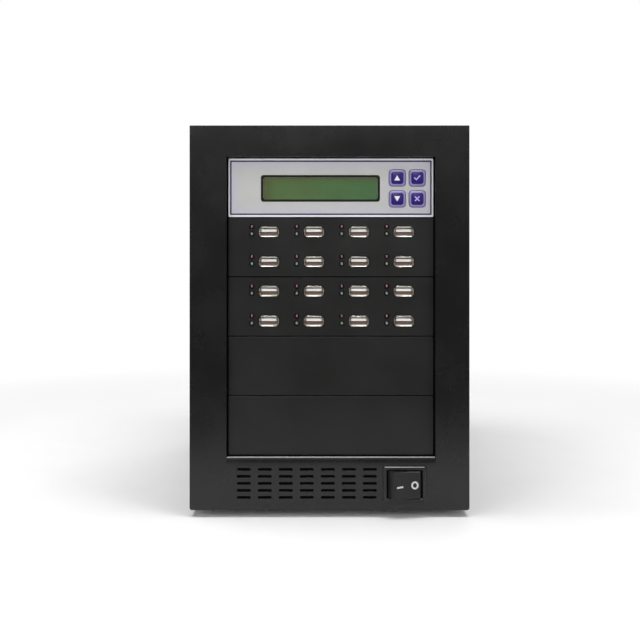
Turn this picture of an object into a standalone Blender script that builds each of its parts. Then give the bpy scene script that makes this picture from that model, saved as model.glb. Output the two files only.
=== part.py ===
"""Five-bay tower that copies USB flash drives, modelled piece by piece.

The tower is a folded steel case with a display bay, two bays of eight USB
sockets, two covered bays, a vent field and a mains rocker switch in front, and
a power supply, a fan and a mains inlet at the back.

Frame: +X to the right, +Z up, and the front looks along -Y. The origin is the
middle of the footprint, on the surface that the tower stands on. Inside the
empty "tower", y = 0 is the front panel's front plane and z = 0 is the floor.
"""

import math

import bmesh
import bpy

MM = 0.001
DEGREE = math.pi / 180.0
SMOOTH_ANGLE = 40.0 * DEGREE

# General clearances
GAP = 0.3 * MM
OVERRUN = 1.0 * MM
SINK = 0.6 * MM

# Case
TOWER_WIDTH = 200.0 * MM
PANEL_BROW = 22.6 * MM
BODY_DEPTH = 322.0 * MM
SHEET = 1.0 * MM
FRONT_SHEET = 1.2 * MM
PANEL_RETURN = 12.0 * MM
TRAY_FLANGE = 12.0 * MM
TRAY_FRONT_FLANGE = 5.5 * MM
TRAY_REAR_TAB = 18.0 * MM
REAR_RETURN = 12.0 * MM
COVER_REAR_FLANGE = 12.0 * MM

# Feet
FOOT_TOP_RADIUS = 8.0 * MM
FOOT_BOTTOM_RADIUS = 7.0 * MM
FOOT_HEIGHT = 4.7 * MM
FOOT_SIDE_INSET = 22.0 * MM
FOOT_END_INSET = 27.0 * MM

# Bays
BAY_COUNT = 5
BAY_PITCH = 42.7 * MM
BAY_CENTRE_X = 1.0 * MM
BAY_BASE = 38.1 * MM
BAY_LIP = 8.0 * MM
MODULE_WIDTH = 147.5 * MM
MODULE_SPACING = 0.8 * MM
MODULE_RECESS = 4.0 * MM
MODULE_FACE = 2.5 * MM
MODULE_RIM = 8.0 * MM
MODULE_WALL = 2.2 * MM
RIM_INSET = 0.4 * MM
ARM_INSET = 0.6 * MM
ARM_THICKNESS = 1.6 * MM
ARM_EDGE = 4.0 * MM
ARM_DEPTH = 60.0 * MM
ARM_HOLE_RADIUS = 1.6 * MM
ARM_HOLE_SETBACK = 26.0 * MM
BLANK_ARM_DEPTH = 34.0 * MM
BLANK_RIB_COUNT = 5
BLANK_RIB = 1.4 * MM
BLANK_RIB_DEPTH = 4.0 * MM
BOSS_RADIUS = 2.4 * MM

# Bay cage
CAGE_START = BAY_LIP + GAP
CAGE_SUPPLY_ROOM = 22.4 * MM
CAGE_FOOT = 12.0 * MM
CAGE_TOP_FLANGE = 8.0 * MM
CAGE_TOP_CLEARANCE = 1.0 * MM
CAGE_SLOT_LENGTH = 14.0 * MM
CAGE_SLOT_WIDTH = 3.6 * MM
CAGE_WINDOW_START = 71.0 * MM
CAGE_WINDOW_EDGE = 25.3 * MM
CAGE_WINDOW_HEIGHT = 26.0 * MM
CAGE_TOP_EDGE = 30.0 * MM
CAGE_TOP_FRAME = 25.0 * MM
CAGE_TOP_WINDOW_WIDTH = 96.0 * MM

# Vent field in the front panel
VENT_COLUMNS = 7
VENT_ROWS = 5
VENT_LENGTH = 10.0 * MM
VENT_WIDTH = 2.0 * MM
VENT_PITCH_X = 15.0 * MM
VENT_PITCH_Z = 5.0 * MM
VENT_CENTRE_X = -16.2 * MM
VENT_CENTRE_HEIGHT = 19.2 * MM

# Rocker switch
SWITCH_X = 53.6 * MM
SWITCH_HEIGHT = 18.8 * MM
BEZEL_WIDTH = 31.0 * MM
BEZEL_HEIGHT = 25.5 * MM
BEZEL_RADIUS = 1.5 * MM
BEZEL_THICKNESS = 2.0 * MM
SWITCH_BODY_WIDTH = 28.0 * MM
SWITCH_BODY_HEIGHT = 21.0 * MM
SWITCH_BODY_DEPTH = 20.0 * MM
SWITCH_WELL_WIDTH = 25.0 * MM
SWITCH_WELL_HEIGHT = 19.8 * MM
SWITCH_WELL_DEPTH = 17.0 * MM
SWITCH_CATCH = 0.9 * MM
SWITCH_CATCH_LENGTH = 5.0 * MM
SWITCH_CATCH_HEIGHT = 10.0 * MM
TERMINAL_WIDTH = 6.3 * MM
TERMINAL_THICKNESS = 0.8 * MM
TERMINAL_LENGTH = 8.0 * MM
TERMINAL_SPREAD_X = 8.0 * MM
TERMINAL_SPREAD_Z = 5.0 * MM
ROCKER_PIVOT_DEPTH = 4.0 * MM
ROCKER_HEIGHT = 19.2 * MM
ROCKER_END_RADIUS = 12.2 * MM
ROCKER_PEAK_X = 9.0 * MM
ROCKER_DISH = 1.2 * MM
ROCKER_SKIRT = 1.6 * MM
ROCKER_KEEL_X = 3.0 * MM
ROCKER_KEEL = 6.5 * MM
ROCKER_PIN_RADIUS = 1.1 * MM
ROCKER_REST_ANGLE = 13.0 * DEGREE

# Cover and its screws
COVER_SCREW_HEAD_RADIUS = 5.0 * MM
COVER_SCREW_HEAD = 9.0 * MM
COVER_SCREW_RADIUS = 1.7 * MM
COVER_SCREW_REACH = 6.0 * MM
COVER_SCREW_DROP = 34.0 * MM
LOUVRE_COUNT = 7
LOUVRE_LENGTH = 90.0 * MM
LOUVRE_WIDTH = 3.0 * MM
LOUVRE_PITCH = 10.0 * MM
LOUVRE_REAR = 72.0 * MM
LOUVRE_HEIGHT = 150.0 * MM

# Power supply
PSU_WIDTH = 150.0 * MM
PSU_FAN_ROOM = 3.0 * MM
PSU_DEPTH = 140.0 * MM
PSU_FRAME = 6.0 * MM
PSU_GRILLE_ROWS = 7
PSU_GRILLE_WIDTH = 5.0 * MM
PSU_FAN_SIDE = 7.0 * MM
PSU_VENT_COUNT = 6
PSU_VENT_PITCH = 12.0 * MM
PSU_VENT_LENGTH = 50.0 * MM
PSU_VENT_WIDTH = 3.0 * MM
PSU_BOARD_FAN_ROOM = 7.7 * MM
PSU_BOARD_SIDE_ROOM = 5.0 * MM
PSU_BOARD_LIFT = 5.0 * MM
PSU_BOARD_SETBACK = 6.0 * MM
TRANSFORMER_WIDTH = 34.0 * MM
TRANSFORMER_LENGTH = 40.0 * MM
TRANSFORMER_HEIGHT = 36.0 * MM
SUPPLY_SINK_X = 30.0 * MM
SUPPLY_SINK_HEIGHT = 50.0 * MM
CAPACITOR_COUNT = 2
CAPACITOR_PITCH = 30.0 * MM
CAPACITOR_RADIUS = 11.0 * MM
CAPACITOR_EDGE = 12.0 * MM
CAPACITOR_HEIGHT = 38.0 * MM
STANDOFF_RADIUS = 3.0 * MM

# Mains inlet
INLET_X = 46.0 * MM
INLET_HEIGHT = 26.0 * MM
INLET_WIDTH = 27.0 * MM
INLET_TALL = 19.5 * MM
INLET_FLANGE = 2.4 * MM
INLET_FLANGE_RIM = 2.2 * MM
INLET_DEPTH = 20.0 * MM
INLET_WELL_WIDTH = 22.4 * MM
INLET_WELL_HEIGHT = 14.4 * MM
INLET_WELL_DEPTH = 16.0 * MM
INLET_PIN_WIDTH = 2.0 * MM
INLET_PIN_HEIGHT = 4.0 * MM
INLET_PIN_SPREAD = 7.0 * MM
INLET_PIN_RISE = 2.0 * MM
INLET_PIN_LENGTH = 13.0 * MM

# Fans, 80 mm size, in the power supply and above it
FAN_SIZE = 80.0 * MM
FAN_DEPTH = 25.0 * MM
FAN_CORNER = 4.0 * MM
FAN_RIM = 2.0 * MM
FAN_HOLE_EDGE = 4.25 * MM
FAN_HOLE_RADIUS = 2.1 * MM
FAN_MOTOR_RADIUS = 16.0 * MM
FAN_MOTOR_DEPTH = 3.0 * MM
FAN_STRUT = 3.0 * MM
FAN_STRUT_COUNT = 4
FAN_STRUT_ANCHOR = 2.5 * MM
FAN_SEAT_INSET = 0.5 * MM
FAN_HUB_RADIUS = 15.0 * MM
FAN_HUB_CHAMFER = 1.5 * MM
FAN_AXLE_RADIUS = 1.5 * MM
FAN_FRONT_CLEARANCE = 1.5 * MM
FAN_TIP_CLEARANCE = 1.4 * MM
FAN_BLADE_ROOT = 13.5 * MM
FAN_BLADE_COUNT = 7
FAN_BLADE_THICKNESS = 1.4 * MM
FAN_BLADE_CAMBER = 1.6 * MM
FAN_ROOT_CHORD = 15.0 * MM
FAN_TIP_CHORD = 21.0 * MM
FAN_ROOT_PITCH = 48.0 * DEGREE
FAN_TIP_PITCH = 30.0 * DEGREE
REAR_FAN_HEIGHT = 186.0 * MM
GUARD_WIRE = 1.6 * MM
GUARD_ARM = 3.0 * MM
GUARD_ARM_COUNT = 4
GUARD_RING_COUNT = 3
GUARD_EDGE = 2.6 * MM
GUARD_EAR_RADIUS = 4.0 * MM
GUARD_BOW = 1.2 * MM

# Display bay
LENS_WIDTH = 85.6 * MM
LENS_HEIGHT = 19.3 * MM
LENS_RADIUS = 1.6 * MM
LENS_THICKNESS = 1.0 * MM
LENS_X = -7.5 * MM
LENS_Z = -0.5 * MM
LENS_SHELF = 1.6 * MM
DISPLAY_FRAME_WIDTH = 96.0 * MM
DISPLAY_FRAME_HEIGHT = 26.0 * MM
DISPLAY_FRAME_DEPTH = 7.0 * MM
DISPLAY_FRAME_WALL = 0.8 * MM
DISPLAY_VIEW_WIDTH = 83.0 * MM
DISPLAY_VIEW_HEIGHT = 17.0 * MM
DISPLAY_GLASS_THICKNESS = 2.8 * MM
DISPLAY_GLASS_BORDER = 3.0 * MM
DISPLAY_BOARD_WIDTH = 116.0 * MM
DISPLAY_BOARD_EDGE = 2.45 * MM
DISPLAY_BOSS_X = 61.0 * MM
DISPLAY_BOSS_INSET = 2.5 * MM
DISPLAY_BOSS_RIGHT_X = 36.0 * MM
BOARD_THICKNESS = 1.6 * MM

# Keys of the display bay
KEY_COLUMN_X = 47.7 * MM
KEY_COLUMN_PITCH = 14.35 * MM
KEY_UPPER_Z = 7.0 * MM
KEY_LOWER_Z = -8.0 * MM
KEY_BASE = 11.8 * MM
KEY_BASE_RADIUS = 2.4 * MM
KEY_TOP = 8.9 * MM
KEY_TOP_RADIUS = 1.2 * MM
KEY_PROUD = 1.5 * MM
KEY_STEP = 0.3 * MM
KEY_HOLE_CLEARANCE = 0.3 * MM
KEY_FLANGE = 13.2 * MM
KEY_FLANGE_THICKNESS = 1.0 * MM
KEY_TRAVEL = 0.5 * MM
KEY_STEM_RADIUS = 1.7 * MM
KEY_STEM_LENGTH = 1.6 * MM
KEY_CORNER_STEPS = 2
TACT_SIZE = 6.0 * MM
TACT_HEIGHT = 2.6 * MM
TACT_HOLE_RADIUS = 2.0 * MM
TACT_HOLE_DEPTH = 2.0 * MM
KEY_BOARD_WIDTH = 26.4 * MM
KEY_BOARD_EDGE = 2.95 * MM
KEY_BOARD_THICKNESS = 1.2 * MM
KEY_BOSS_INSET = 1.7 * MM

# USB bays
PORT_COLUMNS = 4
PORT_ROWS = 2
PORT_COLUMN_PITCH = 32.3 * MM
PORT_ROW_PITCH = 21.5 * MM
PORT_FIELD_X = 4.0 * MM
PORT_FIELD_Z = 0.3 * MM
PORT_MOUTH_WIDTH = 14.7 * MM
PORT_MOUTH_HEIGHT = 7.6 * MM
PORT_MOUTH_DEPTH = 1.3 * MM
PORT_SHELL_WIDTH = 13.1 * MM
PORT_SHELL_HEIGHT = 5.7 * MM
PORT_WALL = 0.3 * MM
PORT_DEPTH = 14.0 * MM
PORT_WELL_DEPTH = 12.2 * MM
TONGUE_WIDTH = 11.1 * MM
TONGUE_HEIGHT = 1.8 * MM
TONGUE_TOP_GAP = 0.7 * MM
TONGUE_RECESS = 1.5 * MM
PORT_HOLE_CLEARANCE = 0.3 * MM
LAMP_RADIUS = 1.5 * MM
LAMP_PROUD = 0.5 * MM
LAMP_HOLE_CLEARANCE = 0.4 * MM
LAMP_X = -12.3 * MM
LAMP_UPPER_Z = 3.5 * MM
LAMP_LOWER_Z = -1.6 * MM
USB_BOARD_SIDE = 4.25 * MM
USB_BOARD_EDGE = 2.25 * MM
USB_BOSS_SIDE_INSET = 3.5 * MM
USB_BOSS_END_INSET = 3.7 * MM
HEADER_WIDTH = 24.0 * MM
HEADER_HEIGHT = 6.0 * MM
HEADER_DEPTH = 8.0 * MM

# Controller board on the tray, and the ribbon cable
CONTROLLER_WIDTH = 130.0 * MM
CONTROLLER_DEPTH = 95.0 * MM
CONTROLLER_OFFSET = 7.0 * MM
CONTROLLER_LIFT = 8.0 * MM
CONTROLLER_STANDOFF_INSET = 5.0 * MM
CONTROLLER_HEADER_Y = 7.0 * MM
CHIP_SIZE = 24.0 * MM
CHIP_SPREAD = 42.0 * MM
CHIP_HEIGHT = 2.2 * MM
HEATSINK_SIZE = 34.0 * MM
HEATSINK_BASE = 3.0 * MM
HEATSINK_FIN_HEIGHT = 12.0 * MM
HEATSINK_FIN = 1.2 * MM
HEATSINK_FIN_COUNT = 7
RIBBON_WIDTH = 20.0 * MM
RIBBON_THICKNESS = 1.0 * MM
RIBBON_RADIUS = 4.0 * MM

# Shares chosen by hand
SCREW_NECK_SHARE = 0.8
SCREW_COLLAR_SHARE = 0.35
SLIM_BOSS_SHARE = 0.7
SUPPLY_SINK_SHARE = 0.8
INLET_KEY_SHARE = 0.3
RIBBON_BEND_SHARE = 0.22
BLADE_STATION_SHARES = (-0.5, 0.0, 0.5)

VENT_STEPS = 3
HIDDEN_SLOT_STEPS = 2
CORNER_STEPS = 3
DISH_STEPS = 6
BLADE_STEPS = 3
ROUND_SIDES = 24
WIRE_SIDES = 18
SMALL_SIDES = 8
PEG_SIDES = 6

# Places that follow from the sizes above
BASE_Z = FOOT_HEIGHT + GAP
FLOOR_Z = BASE_Z + SHEET
SEAT_Z = FLOOR_Z + GAP
HALF_WIDTH = TOWER_WIDTH / 2.0
COVER_INNER_X = HALF_WIDTH - SHEET
TRAY_HALF_WIDTH = HALF_WIDTH - FRONT_SHEET - GAP
PANEL_BACK = FRONT_SHEET + GAP
REAR_INNER_Y = BODY_DEPTH - SHEET
MODULE_HEIGHT = BAY_PITCH - MODULE_SPACING
BAY_OPENING_WIDTH = MODULE_WIDTH + 2.0 * MODULE_SPACING
BAY_OPENING_HEIGHT = BAY_COUNT * BAY_PITCH + MODULE_SPACING
BAY_BOTTOM_Z = BASE_Z + BAY_BASE
BAY_TOP_Z = BAY_BOTTOM_Z + BAY_OPENING_HEIGHT
TOP_Z = BAY_TOP_Z + PANEL_BROW
ARM_OUTER_X = MODULE_WIDTH / 2.0 - ARM_INSET
RIM_OUTER_X = MODULE_WIDTH / 2.0 - RIM_INSET
ARM_HEIGHT = MODULE_HEIGHT - 2.0 * ARM_EDGE
DISPLAY_BOARD_HEIGHT = MODULE_HEIGHT - 2.0 * DISPLAY_BOARD_EDGE
DISPLAY_BOSS_Z = DISPLAY_BOARD_HEIGHT / 2.0 - DISPLAY_BOSS_INSET
KEY_BOARD_HEIGHT = MODULE_HEIGHT - 2.0 * KEY_BOARD_EDGE
KEY_BOSS_Z = KEY_BOARD_HEIGHT / 2.0 - KEY_BOSS_INSET
USB_BOARD_HEIGHT = MODULE_HEIGHT - 2.0 * USB_BOARD_EDGE
USB_BOARD_WIDTH = MODULE_WIDTH - 2.0 * USB_BOARD_SIDE
USB_BOSS_X = USB_BOARD_WIDTH / 2.0 - USB_BOSS_SIDE_INSET
USB_BOSS_Z = USB_BOARD_HEIGHT / 2.0 - USB_BOSS_END_INSET
CAGE_INNER_X = RIM_OUTER_X + GAP
PSU_Y = REAR_INNER_Y - GAP - PSU_DEPTH
CAGE_END = PSU_Y - CAGE_SUPPLY_ROOM
CAGE_WINDOW_LENGTH = CAGE_END - CAGE_WINDOW_EDGE - CAGE_WINDOW_START
CAGE_TOP_DEPTH = CAGE_END - CAGE_START - CAGE_TOP_EDGE
CAGE_TOP_WINDOW_DEPTH = CAGE_TOP_DEPTH - 2.0 * CAGE_TOP_FRAME
CONTROLLER_SETBACK = (PSU_Y - CONTROLLER_DEPTH) / 2.0 + CONTROLLER_OFFSET
CAGE_TOP_Z = BAY_TOP_Z + CAGE_TOP_CLEARANCE + SHEET
REAR_PROUD = GAP + SHEET + GAP + COVER_SCREW_HEAD
FAN_BORE_RADIUS = FAN_SIZE / 2.0 - FAN_RIM
FAN_HOLE_PITCH = FAN_SIZE - 2.0 * FAN_HOLE_EDGE
FAN_STRUT_REACH = FAN_BORE_RADIUS + FAN_STRUT_ANCHOR
FAN_TIP_RADIUS = FAN_BORE_RADIUS - FAN_TIP_CLEARANCE
GUARD_RING_PITCH = (FAN_BORE_RADIUS - GUARD_EDGE) / GUARD_RING_COUNT
PSU_HEIGHT = FAN_SIZE + 2.0 * PSU_FAN_ROOM
PSU_FAN_X = PSU_FAN_SIDE + FAN_SIZE / 2.0 - PSU_WIDTH / 2.0
PSU_BOARD_WIDTH = PSU_WIDTH - 2.0 * (SHEET + PSU_BOARD_SIDE_ROOM)
PSU_BOARD_LENGTH = (PSU_DEPTH - SHEET - GAP - FAN_DEPTH - PSU_BOARD_SETBACK
                    - PSU_BOARD_FAN_ROOM)
CAPACITOR_X = PSU_BOARD_WIDTH / 2.0 - CAPACITOR_EDGE
ROCKER_PIVOT_Y = ROCKER_PIVOT_DEPTH - BEZEL_THICKNESS
ROCKER_PEAK_ANGLE = math.acos(ROCKER_PEAK_X / ROCKER_END_RADIUS)
ROCKER_REACH = ROCKER_END_RADIUS * math.sin(ROCKER_PEAK_ANGLE + ROCKER_REST_ANGLE)
FRONT_PROUD = ROCKER_REACH - ROCKER_PIVOT_Y
FRONT_Y = (FRONT_PROUD - BODY_DEPTH - REAR_PROUD) / 2.0

# Colours, roughness and metal share, as the photo shows them
FINISHES = {
    "black_steel": ((0.016, 0.016, 0.017), 0.38, 0.0),
    "zinc_steel": ((0.55, 0.56, 0.57), 0.35, 1.0),
    "black_plastic": ((0.020, 0.020, 0.021), 0.50, 0.0),
    "grey_plastic": ((0.49, 0.49, 0.53), 0.50, 0.0),
    "blue_plastic": ((0.040, 0.021, 0.190), 0.40, 0.0),
    "clear_plastic": ((0.60, 0.63, 0.62), 0.08, 0.0),
    "display_glass": ((0.080, 0.138, 0.060), 0.15, 0.0),
    "nickel": ((0.62, 0.62, 0.60), 0.28, 1.0),
    "green_board": ((0.010, 0.090, 0.030), 0.45, 0.0),
    "ribbon_grey": ((0.36, 0.37, 0.38), 0.55, 0.0),
    "rubber": ((0.012, 0.012, 0.012), 0.80, 0.0),
}


# Outlines, as lists of (u, v) points
def rectangle(width, height, centre=(0.0, 0.0)):
    """A rectangle about its centre, anticlockwise."""
    u, v = centre
    w, h = width / 2.0, height / 2.0
    return [(u - w, v - h), (u + w, v - h), (u + w, v + h), (u - w, v + h)]


def rounded_rectangle(width, height, radius, steps=CORNER_STEPS, centre=(0.0, 0.0)):
    """A rectangle with round corners of steps + 1 points each."""
    points = []
    for corner in range(4):
        sign_u = 1.0 if corner in (0, 3) else -1.0
        sign_v = 1.0 if corner in (0, 1) else -1.0
        corner_u = centre[0] + sign_u * (width / 2.0 - radius)
        corner_v = centre[1] + sign_v * (height / 2.0 - radius)
        for step in range(steps + 1):
            angle = math.pi / 2.0 * (corner + step / steps)
            points.append((corner_u + radius * math.cos(angle), corner_v + radius * math.sin(angle)))
    return points


def circle(radius, sides, centre=(0.0, 0.0), turn=0.0):
    """A regular polygon that stands for a circle."""
    points = []
    for side in range(sides):
        angle = turn + 2.0 * math.pi * side / sides
        points.append((centre[0] + radius * math.cos(angle), centre[1] + radius * math.sin(angle)))
    return points


def slot(length, width, centre=(0.0, 0.0), steps=HIDDEN_SLOT_STEPS, upright=False):
    """A slot with round ends, along u, or along v when upright."""
    radius = width / 2.0
    points = []
    for end, sign in enumerate((1.0, -1.0)):
        for step in range(steps + 1):
            angle = math.pi * (end + step / steps) - math.pi / 2.0
            along = sign * (length / 2.0 - radius) + radius * math.cos(angle)
            across = radius * math.sin(angle)
            if upright:
                along, across = -across, along
            points.append((centre[0] + along, centre[1] + across))
    return points


# Solids, added to a bmesh
def place(outline, axis, at):
    """Put a flat outline into space, square to an axis at one coordinate."""
    if axis == "X":
        return [(at, u, v) for u, v in outline]
    if axis == "Y":
        return [(u, at, v) for u, v in outline]
    return [(u, v, at) for u, v in outline]


def loft(bm, loops, ring=False):
    """Join loops of equally many points by quads, and cap or close the ends."""
    rows = [[bm.verts.new(point) for point in loop] for loop in loops]
    count = len(rows[0])
    faces = []
    pairs = list(zip(rows, rows[1:]))
    if ring:
        pairs.append((rows[-1], rows[0]))
    else:
        faces.append(bm.faces.new(rows[0]))
        faces.append(bm.faces.new(rows[-1]))
    for first, second in pairs:
        for i in range(count):
            j = (i + 1) % count
            faces.append(bm.faces.new((first[i], first[j], second[j], second[i])))
    bmesh.ops.recalc_face_normals(bm, faces=faces)


def prism(bm, outline, axis, start, end):
    """Extrude an outline along an axis."""
    loft(bm, [place(outline, axis, start), place(outline, axis, end)])


def sleeve(bm, outer, inner, axis, start, end):
    """Extrude the ring between two outlines of equally many points."""
    loops = [place(outer, axis, start), place(outer, axis, end)]
    loops += [place(inner, axis, end), place(inner, axis, start)]
    loft(bm, loops, ring=True)


def box(bm, x, y, z):
    """Add a box between the (low, high) limits along each axis."""
    outline = [(x[0], y[0]), (x[1], y[0]), (x[1], y[1]), (x[0], y[1])]
    prism(bm, outline, "Z", z[0], z[1])


def around(centre, size):
    """The (low, high) limits of a length about its centre."""
    return (centre - size / 2.0, centre + size / 2.0)


# Objects
def clear_scene():
    for old in list(bpy.data.objects):
        bpy.data.objects.remove(old, do_unlink=True)


def make_material(name, finish):
    """A Principled material of its own for one piece."""
    colour, roughness, metallic = FINISHES[finish]
    material = bpy.data.materials.new(f"{name}_{finish}")
    material.use_nodes = True
    shader = material.node_tree.nodes["Principled BSDF"]
    shader.inputs["Base Color"].default_value = (*colour, 1.0)
    shader.inputs["Roughness"].default_value = roughness
    shader.inputs["Metallic"].default_value = metallic
    material.diffuse_color = (*colour, 1.0)
    return material


def new_object(name, mesh, parent, at):
    """Link a mesh as an object at a place in its parent."""
    obj = bpy.data.objects.new(name, mesh)
    obj.location = at
    obj.parent = parent
    bpy.context.scene.collection.objects.link(obj)
    return obj


def make_mesh(name, bm, smooth=False):
    """Turn a bmesh into a mesh, with round stretches shaded smooth."""
    mesh = bpy.data.meshes.new(name)
    bm.to_mesh(mesh)
    bm.free()
    if smooth:
        mesh.shade_smooth()
        mesh.set_sharp_from_angle(angle=SMOOTH_ANGLE)
    return mesh


def node(name, bm, finish, parent, at=(0.0, 0.0, 0.0), smooth=False):
    """Make one named piece from a bmesh, with a material of its own."""
    mesh = make_mesh(name, bm, smooth)
    mesh.materials.append(make_material(name, finish))
    return new_object(name, mesh, parent, at)


def modify(obj, bm, operation):
    """Cut or join a bmesh, given in the piece's own frame, with a Boolean."""
    label = f"{obj.name}_{operation.lower()}_{len(obj.modifiers)}"
    operand = new_object(label, make_mesh(label, bm), obj.parent, obj.location)
    operand.rotation_euler = obj.rotation_euler
    operand.display_type = "WIRE"
    operand.hide_render = True
    modifier = obj.modifiers.new(label, "BOOLEAN")
    modifier.operation = operation
    modifier.solver = "EXACT"
    modifier.object = operand


def cut(obj, bm):
    modify(obj, bm, "DIFFERENCE")


def join(obj, bm):
    modify(obj, bm, "UNION")


# Case
def make_front_panel(tower):
    """Folded sheet: outer returns, a lip round the bays, vents, a switch hole."""
    bm = bmesh.new()
    box(bm, (-HALF_WIDTH, HALF_WIDTH), (0.0, PANEL_RETURN), (BASE_Z, TOP_Z))
    panel = node("front_panel", bm, "black_steel", tower)

    inner_x = HALF_WIDTH - FRONT_SHEET
    inner_top = TOP_Z - FRONT_SHEET
    behind_lip = bmesh.new()
    box(behind_lip, (-inner_x, inner_x), (BAY_LIP, PANEL_RETURN + OVERRUN),
        (BASE_Z - OVERRUN, inner_top))
    cut(panel, behind_lip)

    bay_centre = (BAY_CENTRE_X, (BAY_BOTTOM_Z + BAY_TOP_Z) / 2.0)
    opening = rectangle(BAY_OPENING_WIDTH, BAY_OPENING_HEIGHT, bay_centre)
    lip = rectangle(BAY_OPENING_WIDTH + 2.0 * FRONT_SHEET,
                    BAY_OPENING_HEIGHT + 2.0 * FRONT_SHEET, bay_centre)
    inner_height = inner_top - BASE_Z + OVERRUN
    inside = rectangle(2.0 * inner_x, inner_height, (0.0, inner_top - inner_height / 2.0))
    round_lip = bmesh.new()
    sleeve(round_lip, inside, lip, "Y", FRONT_SHEET, BAY_LIP + OVERRUN)
    cut(panel, round_lip)

    through = bmesh.new()
    ends = (-OVERRUN, PANEL_RETURN + OVERRUN)
    prism(through, opening, "Y", *ends)
    for column in range(VENT_COLUMNS):
        for row in range(VENT_ROWS):
            centre = (VENT_CENTRE_X + (column - (VENT_COLUMNS - 1) / 2.0) * VENT_PITCH_X,
                      BASE_Z + VENT_CENTRE_HEIGHT + (row - (VENT_ROWS - 1) / 2.0) * VENT_PITCH_Z)
            prism(through, slot(VENT_LENGTH, VENT_WIDTH, centre, VENT_STEPS), "Y", *ends)
    switch_hole = rectangle(SWITCH_BODY_WIDTH + 2.0 * GAP, SWITCH_BODY_HEIGHT + 2.0 * GAP,
                            (SWITCH_X, BASE_Z + SWITCH_HEIGHT))
    prism(through, switch_hole, "Y", *ends)
    cut(panel, through)


def make_tray(tower):
    """Base sheet with upturned edges, standoffs and a few floor vents."""
    bm = bmesh.new()
    box(bm, (-TRAY_HALF_WIDTH, TRAY_HALF_WIDTH), (PANEL_BACK, REAR_INNER_Y - GAP),
        (BASE_Z, BASE_Z + TRAY_FLANGE))
    tray = node("base_tray", bm, "zinc_steel", tower)

    pan = bmesh.new()
    pan_x = TRAY_HALF_WIDTH - SHEET
    pan_y = (PANEL_BACK + SHEET, REAR_INNER_Y - GAP - SHEET)
    box(pan, (-pan_x, pan_x), pan_y, (FLOOR_Z, BASE_Z + TRAY_FLANGE + OVERRUN))
    cut(tray, pan)

    notches = bmesh.new()
    notch_top = BASE_Z + TRAY_FLANGE + OVERRUN
    box(notches, (-pan_x, pan_x), (PANEL_BACK - OVERRUN, PANEL_BACK + SHEET + OVERRUN),
        (BASE_Z + TRAY_FRONT_FLANGE, notch_top))
    rear_x = pan_x - TRAY_REAR_TAB
    box(notches, (-rear_x, rear_x), (pan_y[1] - OVERRUN, REAR_INNER_Y + OVERRUN),
        (FLOOR_Z, notch_top))
    cut(tray, notches)

    pegs = bmesh.new()
    for x, y in controller_pegs():
        prism(pegs, circle(STANDOFF_RADIUS, PEG_SIDES, (x, y)), "Z",
              FLOOR_Z - SHEET / 2.0, FLOOR_Z + CONTROLLER_LIFT)
    join(tray, pegs)


def controller_pegs():
    """Places of the controller board's four standoffs."""
    x = CONTROLLER_WIDTH / 2.0 - CONTROLLER_STANDOFF_INSET
    near = CONTROLLER_SETBACK + CONTROLLER_STANDOFF_INSET
    far = CONTROLLER_SETBACK + CONTROLLER_DEPTH - CONTROLLER_STANDOFF_INSET
    return [(-x, near), (x, near), (-x, far), (x, far)]


def make_feet(tower):
    """Four round rubber feet that share one mesh."""
    bm = bmesh.new()
    loft(bm, [place(circle(FOOT_BOTTOM_RADIUS, ROUND_SIDES), "Z", 0.0),
              place(circle(FOOT_TOP_RADIUS, ROUND_SIDES), "Z", FOOT_HEIGHT)])
    mesh = make_mesh("foot", bm, smooth=True)
    mesh.materials.append(make_material("foot", "rubber"))
    foot_x = HALF_WIDTH - FOOT_SIDE_INSET
    for end, foot_y in (("front", FOOT_END_INSET), ("rear", BODY_DEPTH - FOOT_END_INSET)):
        for side, sign in (("left", -1.0), ("right", 1.0)):
            new_object(f"foot_{end}_{side}", mesh, tower, (sign * foot_x, foot_y, 0.0))


def rear_panel_screws():
    """Places of the four cover screws on the rear panel, as (x, z)."""
    x = COVER_INNER_X - COVER_REAR_FLANGE / 2.0
    low, high = BASE_Z + COVER_SCREW_DROP, TOP_Z - COVER_SCREW_DROP
    return [(-x, low), (x, low), (-x, high), (x, high)]


def rear_fan_centre():
    return (0.0, BASE_Z + REAR_FAN_HEIGHT)


def make_rear_panel(tower):
    """Rear sheet with returns, the supply's cut-out and the fan's bore."""
    top = TOP_Z - SHEET - GAP
    side = COVER_INNER_X - GAP
    bm = bmesh.new()
    box(bm, (-side, side), (BODY_DEPTH - REAR_RETURN, BODY_DEPTH), (SEAT_Z, top))
    panel = node("rear_panel", bm, "zinc_steel", tower)

    pocket = bmesh.new()
    box(pocket, (-side + SHEET, side - SHEET),
        (BODY_DEPTH - REAR_RETURN - OVERRUN, REAR_INNER_Y), (SEAT_Z - OVERRUN, top - SHEET))
    cut(panel, pocket)

    above_tray = BASE_Z + TRAY_FLANGE + GAP
    corners = bmesh.new()
    for sign in (-1.0, 1.0):
        limits = sorted((sign * (side - SHEET - OVERRUN), sign * (side + OVERRUN)))
        box(corners, limits, (BODY_DEPTH - REAR_RETURN - OVERRUN, REAR_INNER_Y),
            (SEAT_Z - OVERRUN, above_tray))
    cut(panel, corners)

    through = bmesh.new()
    ends = (REAR_INNER_Y - OVERRUN, BODY_DEPTH + OVERRUN)
    supply_hole = rectangle(PSU_WIDTH - 2.0 * PSU_FRAME, PSU_HEIGHT - 2.0 * PSU_FRAME,
                            (0.0, SEAT_Z + PSU_HEIGHT / 2.0))
    prism(through, supply_hole, "Y", *ends)
    prism(through, circle(FAN_BORE_RADIUS, ROUND_SIDES, rear_fan_centre()), "Y", *ends)
    for x, z in rear_panel_screws():
        prism(through, circle(COVER_SCREW_RADIUS + GAP, SMALL_SIDES, (x, z)), "Y", *ends)
    cut(panel, through)


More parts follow.
